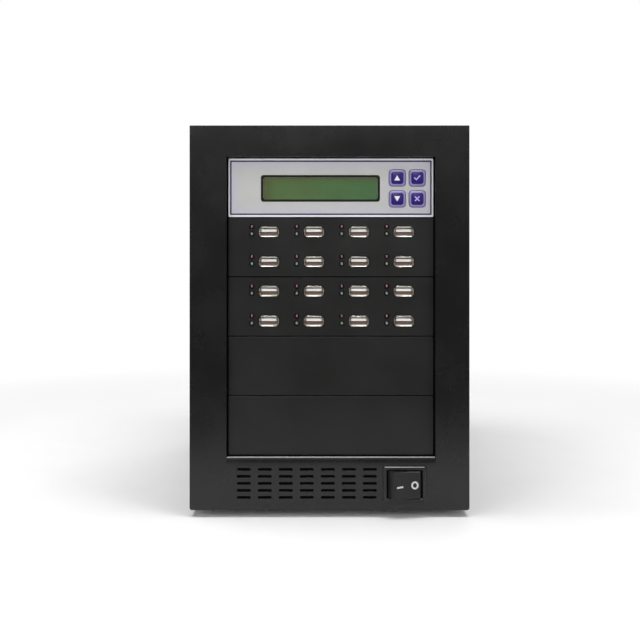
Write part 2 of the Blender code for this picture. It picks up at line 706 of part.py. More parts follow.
def make_cover(tower):
    """U-shaped sheet that slides on from the rear, with a rear flange and louvres."""
    start = PANEL_RETURN + GAP
    end = BODY_DEPTH + GAP + SHEET
    bm = bmesh.new()
    box(bm, (-HALF_WIDTH, HALF_WIDTH), (start, end), (BASE_Z, TOP_Z))
    cover = node("top_cover", bm, "black_steel", tower)

    hollow = bmesh.new()
    box(hollow, (-COVER_INNER_X, COVER_INNER_X), (start - OVERRUN, BODY_DEPTH + GAP),
        (BASE_Z - OVERRUN, TOP_Z - SHEET))
    cut(cover, hollow)

    openings = bmesh.new()
    window_x = COVER_INNER_X - COVER_REAR_FLANGE
    box(openings, (-window_x, window_x), (BODY_DEPTH - OVERRUN, end + OVERRUN),
        (BASE_Z - OVERRUN, TOP_Z - SHEET - COVER_REAR_FLANGE))
    for x, z in rear_panel_screws():
        prism(openings, circle(COVER_SCREW_RADIUS + GAP, SMALL_SIDES, (x, z)), "Y",
              BODY_DEPTH - OVERRUN, end + OVERRUN)
    for sign in (-1.0, 1.0):
        limits = sorted((sign * (COVER_INNER_X - OVERRUN), sign * (HALF_WIDTH + OVERRUN)))
        for louvre in range(LOUVRE_COUNT):
            height = BASE_Z + LOUVRE_HEIGHT + (louvre - (LOUVRE_COUNT - 1) / 2.0) * LOUVRE_PITCH
            outline = slot(LOUVRE_LENGTH, LOUVRE_WIDTH, (BODY_DEPTH - LOUVRE_REAR, height))
            prism(openings, outline, "X", *limits)
    cut(cover, openings)


def make_cover_screws(tower):
    """Captive thumb screws, turned, that hold the cover to the rear panel."""
    seat = BODY_DEPTH + GAP + SHEET + GAP
    neck = COVER_SCREW_HEAD_RADIUS * SCREW_NECK_SHARE
    head_end = COVER_SCREW_HEAD
    collar = COVER_SCREW_HEAD * SCREW_COLLAR_SHARE
    profile = [(COVER_SCREW_RADIUS, -COVER_SCREW_REACH), (COVER_SCREW_RADIUS, 0.0),
               (COVER_SCREW_HEAD_RADIUS, 0.0), (COVER_SCREW_HEAD_RADIUS, collar),
               (neck, collar), (neck, head_end)]
    bm = bmesh.new()
    loft(bm, [place(circle(radius, SMALL_SIDES), "Y", y) for radius, y in profile])
    mesh = make_mesh("cover_screw", bm, smooth=True)
    mesh.materials.append(make_material("cover_screw", "nickel"))
    for number, (x, z) in enumerate(rear_panel_screws(), start=1):
        new_object(f"cover_screw_{number}", mesh, tower, (x, seat, z))


def make_cage(tower):
    """Folded side plates that carry the bays, and the plate across their tops."""
    for side, sign in (("left", -1.0), ("right", 1.0)):
        inner, outer = CAGE_INNER_X, CAGE_INNER_X + SHEET
        profile = [(outer + CAGE_FOOT, SEAT_Z), (inner, SEAT_Z),
                   (inner, CAGE_TOP_Z - SHEET), (inner - CAGE_TOP_FLANGE, CAGE_TOP_Z - SHEET),
                   (inner - CAGE_TOP_FLANGE, CAGE_TOP_Z), (outer, CAGE_TOP_Z),
                   (outer, SEAT_Z + SHEET), (outer + CAGE_FOOT, SEAT_Z + SHEET)]
        outline = [(sign * x, z) for x, z in profile]
        bm = bmesh.new()
        prism(bm, outline, "Y", CAGE_START, CAGE_END)
        plate = node(f"cage_{side}", bm, "zinc_steel", tower, (BAY_CENTRE_X, 0.0, 0.0))

        holes = bmesh.new()
        limits = sorted((sign * (inner - OVERRUN), sign * (outer + OVERRUN)))
        for bay in range(BAY_COUNT):
            height = bay_centre_z(bay)
            screw_y = MODULE_RECESS + ARM_HOLE_SETBACK
            prism(holes, slot(CAGE_SLOT_LENGTH, CAGE_SLOT_WIDTH, (screw_y, height)), "X", *limits)
            window_y = CAGE_WINDOW_START + CAGE_WINDOW_LENGTH / 2.0
            window = rectangle(CAGE_WINDOW_LENGTH, CAGE_WINDOW_HEIGHT, (window_y, height))
            prism(holes, window, "X", *limits)
        cut(plate, holes)

    middle = CAGE_START + CAGE_TOP_DEPTH / 2.0
    outline = rectangle(2.0 * CAGE_INNER_X, CAGE_TOP_DEPTH, (0.0, middle))
    window = rectangle(CAGE_TOP_WINDOW_WIDTH, CAGE_TOP_WINDOW_DEPTH, (0.0, middle))
    bm = bmesh.new()
    sleeve(bm, outline, window, "Z", CAGE_TOP_Z + GAP, CAGE_TOP_Z + GAP + SHEET)
    node("cage_top", bm, "zinc_steel", tower, (BAY_CENTRE_X, 0.0, 0.0))


def bay_centre_z(bay):
    """Height of a bay's centre, counted from the top bay, which is 0."""
    from_bottom = BAY_COUNT - 1 - bay
    lowest = BAY_BOTTOM_Z + MODULE_SPACING / 2.0 + BAY_PITCH / 2.0
    return lowest + from_bottom * BAY_PITCH


# Bay modules, each built about its face centre with the face at y = 0
def bay_place(bay):
    return (BAY_CENTRE_X, MODULE_RECESS, bay_centre_z(bay))


def make_module_body(name, finish, tower, bay, arm_depth, bosses):
    """A rimmed bay face with side arms; bosses are (x, z, radius, end) places."""
    bm = bmesh.new()
    prism(bm, rectangle(MODULE_WIDTH, MODULE_HEIGHT), "Y", 0.0, MODULE_FACE)
    plate = node(name, bm, finish, tower, bay_place(bay))

    rim = bmesh.new()
    rim_height = MODULE_HEIGHT - 2.0 * RIM_INSET
    sleeve(rim, rectangle(2.0 * RIM_OUTER_X, rim_height),
           rectangle(2.0 * (RIM_OUTER_X - MODULE_WALL), rim_height - 2.0 * MODULE_WALL),
           "Y", MODULE_FACE - SINK, MODULE_RIM)
    join(plate, rim)

    additions = bmesh.new()
    for sign in (-1.0, 1.0):
        limits = sorted((sign * ARM_OUTER_X, sign * (ARM_OUTER_X - ARM_THICKNESS)))
        box(additions, limits, (MODULE_RIM - SINK, arm_depth), around(0.0, ARM_HEIGHT))
    for x, z, radius, end in bosses:
        prism(additions, circle(radius, SMALL_SIDES, (x, z)), "Y", MODULE_FACE - SINK, end)
    join(plate, additions)

    arm_holes = bmesh.new()
    for sign in (-1.0, 1.0):
        limits = sorted((sign * (ARM_OUTER_X - ARM_THICKNESS - OVERRUN),
                         sign * (ARM_OUTER_X + OVERRUN)))
        outline = circle(ARM_HOLE_RADIUS, SMALL_SIDES, (ARM_HOLE_SETBACK, 0.0))
        prism(arm_holes, outline, "X", *limits)
    cut(plate, arm_holes)
    return plate


def port_places():
    """Centres of a module's sockets, row by row from the top, left to right."""
    places = []
    for row in range(PORT_ROWS):
        z = PORT_FIELD_Z + ((PORT_ROWS - 1) / 2.0 - row) * PORT_ROW_PITCH
        for column in range(PORT_COLUMNS):
            x = PORT_FIELD_X + (column - (PORT_COLUMNS - 1) / 2.0) * PORT_COLUMN_PITCH
            places.append((x, z))
    return places


def lamp_places():
    places = []
    for x, z in port_places():
        places.append((x + LAMP_X, z + LAMP_UPPER_Z))
        places.append((x + LAMP_X, z + LAMP_LOWER_Z))
    return places


def port_mesh():
    """USB-A socket: a flared steel mouth and shell round a contact tongue."""
    inner_width = PORT_SHELL_WIDTH - 2.0 * PORT_WALL
    inner_height = PORT_SHELL_HEIGHT - 2.0 * PORT_WALL
    shell = rectangle(PORT_SHELL_WIDTH, PORT_SHELL_HEIGHT)
    mouth = rectangle(PORT_MOUTH_WIDTH, PORT_MOUTH_HEIGHT)
    mouth_inner = rectangle(PORT_MOUTH_WIDTH - 2.0 * PORT_WALL,
                            PORT_MOUTH_HEIGHT - 2.0 * PORT_WALL)
    well = rectangle(inner_width, inner_height)
    tongue_z = (inner_height - TONGUE_HEIGHT) / 2.0 - TONGUE_TOP_GAP
    tongue = rectangle(TONGUE_WIDTH, TONGUE_HEIGHT, (0.0, tongue_z))
    sections = [(shell, PORT_DEPTH), (shell, PORT_MOUTH_DEPTH), (mouth, 0.0),
                (mouth_inner, 0.0), (well, PORT_MOUTH_DEPTH), (well, PORT_WELL_DEPTH),
                (tongue, PORT_WELL_DEPTH), (tongue, TONGUE_RECESS)]
    bm = bmesh.new()
    loft(bm, [place(outline, "Y", y) for outline, y in sections])
    mesh = make_mesh("usb_port", bm)
    mesh.materials.append(make_material("usb_port", "nickel"))
    return mesh


def make_usb_modules(tower):
    """Two bays of eight sockets, with a board and two lamps for each socket."""
    mesh = port_mesh()
    number = 1
    board_front = PORT_DEPTH + GAP
    board_back = board_front + BOARD_THICKNESS
    bosses = [(sx * USB_BOSS_X, sz * USB_BOSS_Z, BOSS_RADIUS, PORT_DEPTH)
              for sx in (-1.0, 1.0) for sz in (-1.0, 1.0)]
    for level, bay in (("upper", 1), ("lower", 2)):
        plate = make_module_body(f"usb_faceplate_{level}", "black_plastic", tower, bay,
                                 ARM_DEPTH, bosses)
        holes = bmesh.new()
        ends = (-OVERRUN, MODULE_FACE + SINK)
        for x, z in port_places():
            outline = rectangle(PORT_MOUTH_WIDTH + 2.0 * PORT_HOLE_CLEARANCE,
                                PORT_MOUTH_HEIGHT + 2.0 * PORT_HOLE_CLEARANCE, (x, z))
            prism(holes, outline, "Y", *ends)
        for x, z in lamp_places():
            outline = circle(LAMP_RADIUS + LAMP_HOLE_CLEARANCE, PEG_SIDES, (x, z))
            prism(holes, outline, "Y", *ends)
        cut(plate, holes)

        place_x, place_y, place_z = bay_place(bay)
        for x, z in port_places():
            new_object(f"usb_port_{number:02d}", mesh, tower,
                       (place_x + x, place_y, place_z + z))
            number += 1

        bm = bmesh.new()
        prism(bm, rectangle(USB_BOARD_WIDTH, USB_BOARD_HEIGHT), "Y", board_front, board_back)
        board = node(f"usb_board_{level}", bm, "green_board", tower, bay_place(bay))
        parts = bmesh.new()
        for x, z in lamp_places():
            prism(parts, circle(LAMP_RADIUS, PEG_SIDES, (x, z)), "Y",
                  -LAMP_PROUD, board_front + SINK)
        prism(parts, rectangle(HEADER_WIDTH, HEADER_HEIGHT), "Y",
              board_back - SINK, board_back + HEADER_DEPTH)
        join(board, parts)


def make_blank_covers(tower):
    """Two covers for empty bays, ribbed on the inside."""
    for level, bay in (("upper", 3), ("lower", 4)):
        cover = make_module_body(f"blank_cover_{level}", "black_plastic", tower, bay,
                                 BLANK_ARM_DEPTH, [])
        ribs = bmesh.new()
        half_height = MODULE_HEIGHT / 2.0 - RIM_INSET - MODULE_WALL + SINK
        for rib in range(BLANK_RIB_COUNT):
            x = MODULE_WIDTH * (rib + 1.0) / (BLANK_RIB_COUNT + 1.0) - MODULE_WIDTH / 2.0
            box(ribs, around(x, BLANK_RIB), (MODULE_FACE - SINK, MODULE_FACE + BLANK_RIB_DEPTH),
                (-half_height, half_height))
        join(cover, ribs)


# Display bay
def key_places():
    """Names and centres of the four keys on the display bay's face."""
    right = KEY_COLUMN_X + KEY_COLUMN_PITCH
    return [("key_up", KEY_COLUMN_X, KEY_UPPER_Z), ("key_down", KEY_COLUMN_X, KEY_LOWER_Z),
            ("key_ok", right, KEY_UPPER_Z), ("key_esc", right, KEY_LOWER_Z)]


KEY_BACK = MODULE_FACE + GAP + KEY_FLANGE_THICKNESS
TACT_FRONT = KEY_BACK + KEY_TRAVEL + GAP
KEY_BOARD_FRONT = TACT_FRONT + TACT_HEIGHT
KEY_BOARD_X = KEY_COLUMN_X + KEY_COLUMN_PITCH / 2.0
DISPLAY_FRONT = MODULE_FACE + GAP
DISPLAY_BACK = DISPLAY_FRONT + DISPLAY_FRAME_DEPTH
DISPLAY_BOARD_FRONT = DISPLAY_BACK + GAP


def make_display_face(tower):
    """Face of the display bay: a rebated window, four key holes, the bosses."""
    bosses = [(x, sign * DISPLAY_BOSS_Z, BOSS_RADIUS * SLIM_BOSS_SHARE, DISPLAY_BACK)
              for x in (-DISPLAY_BOSS_X, DISPLAY_BOSS_RIGHT_X) for sign in (-1.0, 1.0)]
    bosses += [(KEY_BOARD_X, sign * KEY_BOSS_Z, BOSS_RADIUS * SLIM_BOSS_SHARE,
                KEY_BOARD_FRONT - GAP) for sign in (-1.0, 1.0)]
    plate = make_module_body("display_faceplate", "grey_plastic", tower, 0, ARM_DEPTH, bosses)

    rebate = bmesh.new()
    outline = rounded_rectangle(LENS_WIDTH, LENS_HEIGHT, LENS_RADIUS, centre=(LENS_X, LENS_Z))
    prism(rebate, outline, "Y", -OVERRUN, LENS_THICKNESS + GAP)
    cut(plate, rebate)

    through = bmesh.new()
    ends = (-OVERRUN, MODULE_FACE + SINK)
    view = rectangle(LENS_WIDTH - 2.0 * LENS_SHELF, LENS_HEIGHT - 2.0 * LENS_SHELF,
                     (LENS_X, LENS_Z))
    prism(through, view, "Y", *ends)
    hole = KEY_BASE + 2.0 * KEY_HOLE_CLEARANCE
    for _, x, z in key_places():
        outline = rounded_rectangle(hole, hole, KEY_BASE_RADIUS + KEY_HOLE_CLEARANCE,
                                    centre=(x, z))
        prism(through, outline, "Y", *ends)
    cut(plate, through)


def make_display(tower):
    """Window, metal frame, glass and board, stacked behind the display face."""
    at = bay_place(0)
    centre = (LENS_X, LENS_Z)
    bm = bmesh.new()
    outline = rounded_rectangle(LENS_WIDTH - 2.0 * GAP, LENS_HEIGHT - 2.0 * GAP,
                                LENS_RADIUS - GAP, centre=centre)
    prism(bm, outline, "Y", 0.0, LENS_THICKNESS)
    node("display_window", bm, "clear_plastic", tower, at)

    bm = bmesh.new()
    prism(bm, rectangle(DISPLAY_FRAME_WIDTH, DISPLAY_FRAME_HEIGHT, centre), "Y",
          DISPLAY_FRONT, DISPLAY_BACK)
    frame = node("display_frame", bm, "zinc_steel", tower, at)
    hollow = bmesh.new()
    inner_width = DISPLAY_FRAME_WIDTH - 2.0 * DISPLAY_FRAME_WALL
    inner_height = DISPLAY_FRAME_HEIGHT - 2.0 * DISPLAY_FRAME_WALL
    glass_front = DISPLAY_FRONT + DISPLAY_FRAME_WALL
    prism(hollow, rectangle(inner_width, inner_height, centre), "Y",
          glass_front, DISPLAY_BACK + OVERRUN)
    cut(frame, hollow)
    view = bmesh.new()
    prism(view, rectangle(DISPLAY_VIEW_WIDTH, DISPLAY_VIEW_HEIGHT, centre), "Y",
          DISPLAY_FRONT - OVERRUN, glass_front + OVERRUN)
    cut(frame, view)

    bm = bmesh.new()
    glass = rectangle(inner_width - 2.0 * GAP, inner_height - 2.0 * GAP, centre)
    glass_back = glass_front + GAP + DISPLAY_GLASS_THICKNESS
    prism(bm, glass, "Y", glass_front + GAP, glass_back)
    node("display_glass", bm, "display_glass", tower, at)

    bm = bmesh.new()
    board_back = DISPLAY_BOARD_FRONT + BOARD_THICKNESS
    prism(bm, rectangle(DISPLAY_BOARD_WIDTH, DISPLAY_BOARD_HEIGHT, (LENS_X, 0.0)), "Y",
          DISPLAY_BOARD_FRONT, board_back)
    board = node("display_board", bm, "green_board", tower, at)
    parts = bmesh.new()
    backlight = rectangle(inner_width - 2.0 * DISPLAY_GLASS_BORDER,
                          inner_height - 2.0 * DISPLAY_GLASS_BORDER, centre)
    prism(parts, backlight, "Y", glass_back + GAP, DISPLAY_BOARD_FRONT + SINK)
    prism(parts, rectangle(HEADER_WIDTH, HEADER_HEIGHT), "Y",
          board_back - SINK, board_back + HEADER_DEPTH)
    join(board, parts)


def make_keys(tower):
    """Four sprung keys that share one mesh, and the board with their switches."""
    ring = 4 * (KEY_CORNER_STEPS + 1)
    stem = circle(KEY_STEM_RADIUS, ring, turn=math.pi / ring)
    flange = rounded_rectangle(KEY_FLANGE, KEY_FLANGE, KEY_BASE_RADIUS, KEY_CORNER_STEPS)
    base = rounded_rectangle(KEY_BASE, KEY_BASE, KEY_BASE_RADIUS, KEY_CORNER_STEPS)
    top = rounded_rectangle(KEY_TOP, KEY_TOP, KEY_TOP_RADIUS, KEY_CORNER_STEPS)
    sections = [(stem, KEY_BACK + KEY_STEM_LENGTH), (stem, KEY_BACK), (flange, KEY_BACK),
                (flange, DISPLAY_FRONT), (base, DISPLAY_FRONT), (base, -KEY_STEP),
                (top, -KEY_PROUD)]
    bm = bmesh.new()
    loft(bm, [place(outline, "Y", y) for outline, y in sections])
    mesh = make_mesh("key", bm, smooth=True)
    mesh.materials.append(make_material("key", "blue_plastic"))
    at = bay_place(0)
    for name, x, z in key_places():
        new_object(name, mesh, tower, (at[0] + x, at[1], at[2] + z))

    bm = bmesh.new()
    prism(bm, rectangle(KEY_BOARD_WIDTH, KEY_BOARD_HEIGHT, (KEY_BOARD_X, 0.0)), "Y",
          KEY_BOARD_FRONT, KEY_BOARD_FRONT + KEY_BOARD_THICKNESS)
    board = node("key_board", bm, "green_board", tower, at)
    switches = bmesh.new()
    holes = bmesh.new()
    for _, x, z in key_places():
        prism(switches, rectangle(TACT_SIZE, TACT_SIZE, (x, z)), "Y",
              TACT_FRONT, KEY_BOARD_FRONT + SINK)
        prism(holes, circle(TACT_HOLE_RADIUS, SMALL_SIDES, (x, z)), "Y",
              TACT_FRONT - OVERRUN, TACT_FRONT + TACT_HOLE_DEPTH)
    join(board, switches)
    cut(board, holes)


# Mains switch
def make_switch(tower):
    """Snap-in housing with blade terminals, and the rocker on its pin."""
    at = (SWITCH_X, 0.0, BASE_Z + SWITCH_HEIGHT)
    bezel = rounded_rectangle(BEZEL_WIDTH, BEZEL_HEIGHT, BEZEL_RADIUS)
    body = rounded_rectangle(SWITCH_BODY_WIDTH, SWITCH_BODY_HEIGHT, GAP)
    bm = bmesh.new()
    sections = [(bezel, -BEZEL_THICKNESS), (bezel, -GAP), (body, -GAP), (body, SWITCH_BODY_DEPTH)]
    loft(bm, [place(outline, "Y", y) for outline, y in sections])
    housing = node("switch_housing", bm, "black_plastic", tower, at)

    additions = bmesh.new()
    half = SWITCH_BODY_WIDTH / 2.0
    catch_start = FRONT_SHEET + GAP
    for sign in (-1.0, 1.0):
        wedge = [(sign * (half - SINK), catch_start), (sign * (half + SWITCH_CATCH), catch_start),
                 (sign * (half - SINK), catch_start + SWITCH_CATCH_LENGTH)]
        prism(additions, wedge, "Z", *around(0.0, SWITCH_CATCH_HEIGHT))
        for rise in (-1.0, 1.0):
            box(additions, around(sign * TERMINAL_SPREAD_X, TERMINAL_THICKNESS),
                (SWITCH_BODY_DEPTH - SINK, SWITCH_BODY_DEPTH + TERMINAL_LENGTH),
                around(rise * TERMINAL_SPREAD_Z, TERMINAL_WIDTH))
    join(housing, additions)

    well = bmesh.new()
    prism(well, rectangle(SWITCH_WELL_WIDTH, SWITCH_WELL_HEIGHT), "Y",
          -BEZEL_THICKNESS - OVERRUN, SWITCH_WELL_DEPTH - BEZEL_THICKNESS)
    cut(housing, well)
    pin_hole = bmesh.new()
    half_hole = SWITCH_BODY_HEIGHT / 2.0 + OVERRUN
    prism(pin_hole, circle(ROCKER_PIN_RADIUS + GAP, SMALL_SIDES, (0.0, ROCKER_PIVOT_Y)), "Z",
          -half_hole, half_hole)
    cut(housing, pin_hole)

    bm = bmesh.new()
    prism(bm, rocker_outline(), "Z", *around(0.0, ROCKER_HEIGHT))
    pivot = (SWITCH_X, ROCKER_PIVOT_Y, BASE_Z + SWITCH_HEIGHT)
    rocker = node("switch_rocker", bm, "black_plastic", tower, pivot, smooth=True)
    rocker.rotation_euler = (0.0, 0.0, ROCKER_REST_ANGLE)
    pin = bmesh.new()
    prism(pin, circle(ROCKER_PIN_RADIUS, SMALL_SIDES), "Z",
          *around(0.0, SWITCH_BODY_HEIGHT - 2.0 * GAP))
    join(rocker, pin)


def rocker_outline():
    """Side view of the rocker about its pin: dished front, round ends, a keel."""
    peak = ROCKER_END_RADIUS * math.sin(ROCKER_PEAK_ANGLE)
    skirt_angle = math.asin(ROCKER_SKIRT / ROCKER_END_RADIUS)
    points = []
    for step in range(DISH_STEPS + 1):
        share = 2.0 * step / DISH_STEPS - 1.0
        points.append((share * ROCKER_PEAK_X, -peak + ROCKER_DISH * (1.0 - share * share)))
    for step in range(1, CORNER_STEPS + 1):
        angle = -ROCKER_PEAK_ANGLE + (ROCKER_PEAK_ANGLE + skirt_angle) * step / CORNER_STEPS
        points.append((ROCKER_END_RADIUS * math.cos(angle), ROCKER_END_RADIUS * math.sin(angle)))
    points += [(ROCKER_KEEL_X, ROCKER_KEEL), (-ROCKER_KEEL_X, ROCKER_KEEL)]
    for step in range(CORNER_STEPS):
        angle = skirt_angle - (ROCKER_PEAK_ANGLE + skirt_angle) * step / CORNER_STEPS
        points.append((-ROCKER_END_RADIUS * math.cos(angle), ROCKER_END_RADIUS * math.sin(angle)))
    return points


# Fans, each built about its axis with the outlet face at y = 0
def spider_outline(core, arm_width, reach, arms):
    """A disc with straight arms, the first half a pitch from +u, as one outline."""
    half = arm_width / 2.0
    root_angle = math.asin(half / core)
    root = core * math.cos(root_angle)
    points = []
    for arm in range(arms):
        angle = math.pi * (2.0 * arm + 1.0) / arms
        cos, sin = math.cos(angle), math.sin(angle)
        for along, across in ((root, -half), (reach, -half), (reach, half), (root, half)):
            points.append((along * cos - across * sin, along * sin + across * cos))
        span = 2.0 * math.pi / arms - 2.0 * root_angle
        for step in range(1, CORNER_STEPS):
            between = angle + root_angle + span * step / CORNER_STEPS
            points.append((core * math.cos(between), core * math.sin(between)))
    return points


def make_fan_frame(name, tower, at):
    """Square frame with a round duct, screw holes and an armed motor seat."""
    bm = bmesh.new()
    prism(bm, rounded_rectangle(FAN_SIZE, FAN_SIZE, FAN_CORNER), "Y", -FAN_DEPTH, 0.0)
    frame = node(name, bm, "black_plastic", tower, at)
    holes = bmesh.new()
    ends = (-FAN_DEPTH - OVERRUN, OVERRUN)
    prism(holes, circle(FAN_BORE_RADIUS, ROUND_SIDES), "Y", *ends)
    offset = FAN_HOLE_PITCH / 2.0
    for x in (-offset, offset):
        for z in (-offset, offset):
            prism(holes, circle(FAN_HOLE_RADIUS, PEG_SIDES, (x, z)), "Y", *ends)
    cut(frame, holes)
    seat = bmesh.new()
    outline = spider_outline(FAN_MOTOR_RADIUS, FAN_STRUT, FAN_STRUT_REACH, FAN_STRUT_COUNT)
    prism(seat, outline, "Y", -FAN_MOTOR_DEPTH, -FAN_SEAT_INSET)
    join(frame, seat)
    bearing = bmesh.new()
    prism(bearing, circle(FAN_AXLE_RADIUS + GAP, SMALL_SIDES), "Y",
          -FAN_MOTOR_DEPTH - OVERRUN, OVERRUN)
    cut(frame, bearing)


def blade_section(radius, share, middle, start_angle):
    """One cambered section of a blade, wrapped on a cylinder of a radius."""
    chord = FAN_ROOT_CHORD + (FAN_TIP_CHORD - FAN_ROOT_CHORD) * share
    pitch = FAN_ROOT_PITCH + (FAN_TIP_PITCH - FAN_ROOT_PITCH) * share
    half = FAN_BLADE_THICKNESS / 2.0
    stations = [(along, -half) for along in BLADE_STATION_SHARES]
    stations += [(along, half) for along in reversed(BLADE_STATION_SHARES)]
    points = []
    for along, side in stations:
        rise = side + FAN_BLADE_CAMBER * (1.0 - (along / BLADE_STATION_SHARES[-1]) ** 2)
        sweep = along * chord * math.cos(pitch) - rise * math.sin(pitch)
        y = middle + along * chord * math.sin(pitch) + rise * math.cos(pitch)
        angle = start_angle + sweep / radius
        points.append((radius * math.cos(angle), y, radius * math.sin(angle)))
    return points


def make_fan_rotor(name, tower, at):
    """Turned hub on its axle, with twisted and cambered blades."""
    front = -FAN_DEPTH + FAN_FRONT_CLEARANCE
    back = -FAN_MOTOR_DEPTH - GAP
    profile = [(FAN_HUB_RADIUS - FAN_HUB_CHAMFER, front), (FAN_HUB_RADIUS, front + FAN_HUB_CHAMFER),
               (FAN_HUB_RADIUS, back), (FAN_AXLE_RADIUS, back), (FAN_AXLE_RADIUS, -FAN_SEAT_INSET)]
    bm = bmesh.new()
    loft(bm, [place(circle(radius, WIRE_SIDES), "Y", y) for radius, y in profile])
    rotor = node(name, bm, "black_plastic", tower, at, smooth=True)
    blades = bmesh.new()
    middle = (front + back) / 2.0
    for blade in range(FAN_BLADE_COUNT):
        start_angle = 2.0 * math.pi * blade / FAN_BLADE_COUNT
        loops = []
        for step in range(BLADE_STEPS + 1):
            share = step / BLADE_STEPS
            radius = FAN_BLADE_ROOT + (FAN_TIP_RADIUS - FAN_BLADE_ROOT) * share
            loops.append(blade_section(radius, share, middle, start_angle))
        loft(blades, loops)
    join(rotor, blades)


def make_rear_fan(tower):
    """Fan on the rear panel, and the wire guard outside it."""
    x, z = rear_fan_centre()
    at = (x, REAR_INNER_Y - GAP, z)
    make_fan_frame("rear_fan_frame", tower, at)
    make_fan_rotor("rear_fan_rotor", tower, at)

    bm = bmesh.new()
    pitch_radius = FAN_HOLE_PITCH / math.sqrt(2.0)
    arm_end = pitch_radius - FAN_HOLE_RADIUS - SINK
    outline = spider_outline(GUARD_RING_PITCH / 2.0, GUARD_ARM, arm_end, GUARD_ARM_COUNT)
    prism(bm, outline, "Y", 0.0, GUARD_BOW + GUARD_WIRE / 2.0)
    guard = node("rear_fan_guard", bm, "nickel", tower, (x, BODY_DEPTH + GAP, z))
    wires = bmesh.new()
    for ring in range(1, GUARD_RING_COUNT + 1):
        radius = ring * GUARD_RING_PITCH
        sleeve(wires, circle(radius + GUARD_WIRE / 2.0, WIRE_SIDES),
               circle(radius - GUARD_WIRE / 2.0, WIRE_SIDES), "Y",
               GUARD_BOW, GUARD_BOW + GUARD_WIRE)
    offset = FAN_HOLE_PITCH / 2.0
    for ear_x in (-offset, offset):
        for ear_z in (-offset, offset):
            sleeve(wires, circle(GUARD_EAR_RADIUS, SMALL_SIDES, (ear_x, ear_z)),
                   circle(FAN_HOLE_RADIUS, SMALL_SIDES, (ear_x, ear_z)), "Y",
                   0.0, GUARD_BOW)
    join(guard, wires)


# Power supply, built from its lower front edge backwards
def psu_place():
    return (0.0, PSU_Y, SEAT_Z)


def make_psu_case(tower):
    """Tray with the end walls, and a U-shaped cover with the side walls."""
    at = psu_place()
    tray_x = PSU_WIDTH / 2.0 - SHEET - GAP
    tray_top = PSU_HEIGHT - SHEET - GAP
    bm = bmesh.new()
    box(bm, (-tray_x, tray_x), (0.0, PSU_DEPTH), (0.0, tray_top))
    tray = node("psu_tray", bm, "zinc_steel", tower, at)
    pocket = bmesh.new()
    box(pocket, (-tray_x - OVERRUN, tray_x + OVERRUN), (SHEET, PSU_DEPTH - SHEET),
        (SHEET, tray_top + OVERRUN))
    cut(tray, pocket)

    pegs = bmesh.new()
    for x, y in psu_pegs():
        prism(pegs, circle(STANDOFF_RADIUS, PEG_SIDES, (x, y)), "Z",
              SHEET / 2.0, SHEET + PSU_BOARD_LIFT)
    join(tray, pegs)

    holes = bmesh.new()
    rear = (PSU_DEPTH - SHEET - OVERRUN, PSU_DEPTH + OVERRUN)
    inlet_hole = rectangle(INLET_WIDTH + 2.0 * GAP, INLET_TALL + 2.0 * GAP,
                           (INLET_X, INLET_HEIGHT))
    prism(holes, inlet_hole, "Y", *rear)
    row_pitch = 2.0 * FAN_BORE_RADIUS / (PSU_GRILLE_ROWS + 1)
    for row in range(PSU_GRILLE_ROWS):
        rise = (row - (PSU_GRILLE_ROWS - 1) / 2.0) * row_pitch
        chord = math.sqrt(FAN_BORE_RADIUS ** 2 - rise ** 2)
        length = chord - PSU_GRILLE_WIDTH
        for sign in (-1.0, 1.0):
            centre = (PSU_FAN_X + sign * (PSU_GRILLE_WIDTH + length) / 2.0,
                      PSU_HEIGHT / 2.0 + rise)
            prism(holes, slot(length, PSU_GRILLE_WIDTH, centre), "Y", *rear)
    for vent in range(PSU_VENT_COUNT):
        x = (vent - (PSU_VENT_COUNT - 1) / 2.0) * PSU_VENT_PITCH
        outline = slot(PSU_VENT_LENGTH, PSU_VENT_WIDTH, (x, PSU_HEIGHT / 2.0), upright=True)
        prism(holes, outline, "Y", -OVERRUN, SHEET + OVERRUN)
    cut(tray, holes)

    bm = bmesh.new()
    half = PSU_WIDTH / 2.0
    box(bm, (-half, half), (0.0, PSU_DEPTH), (0.0, PSU_HEIGHT))
    cover = node("psu_cover", bm, "zinc_steel", tower, at)
    hollow = bmesh.new()
    box(hollow, (-half + SHEET, half - SHEET), (-OVERRUN, PSU_DEPTH + OVERRUN),
        (-OVERRUN, PSU_HEIGHT - SHEET))
    cut(cover, hollow)


def psu_pegs():
    """Places of the supply board's standoffs."""
    x = PSU_BOARD_WIDTH / 2.0 - CONTROLLER_STANDOFF_INSET
    near = PSU_BOARD_SETBACK + CONTROLLER_STANDOFF_INSET
    far = PSU_BOARD_SETBACK + PSU_BOARD_LENGTH - CONTROLLER_STANDOFF_INSET
    return [(-x, near), (x, near), (-x, far), (x, far)]


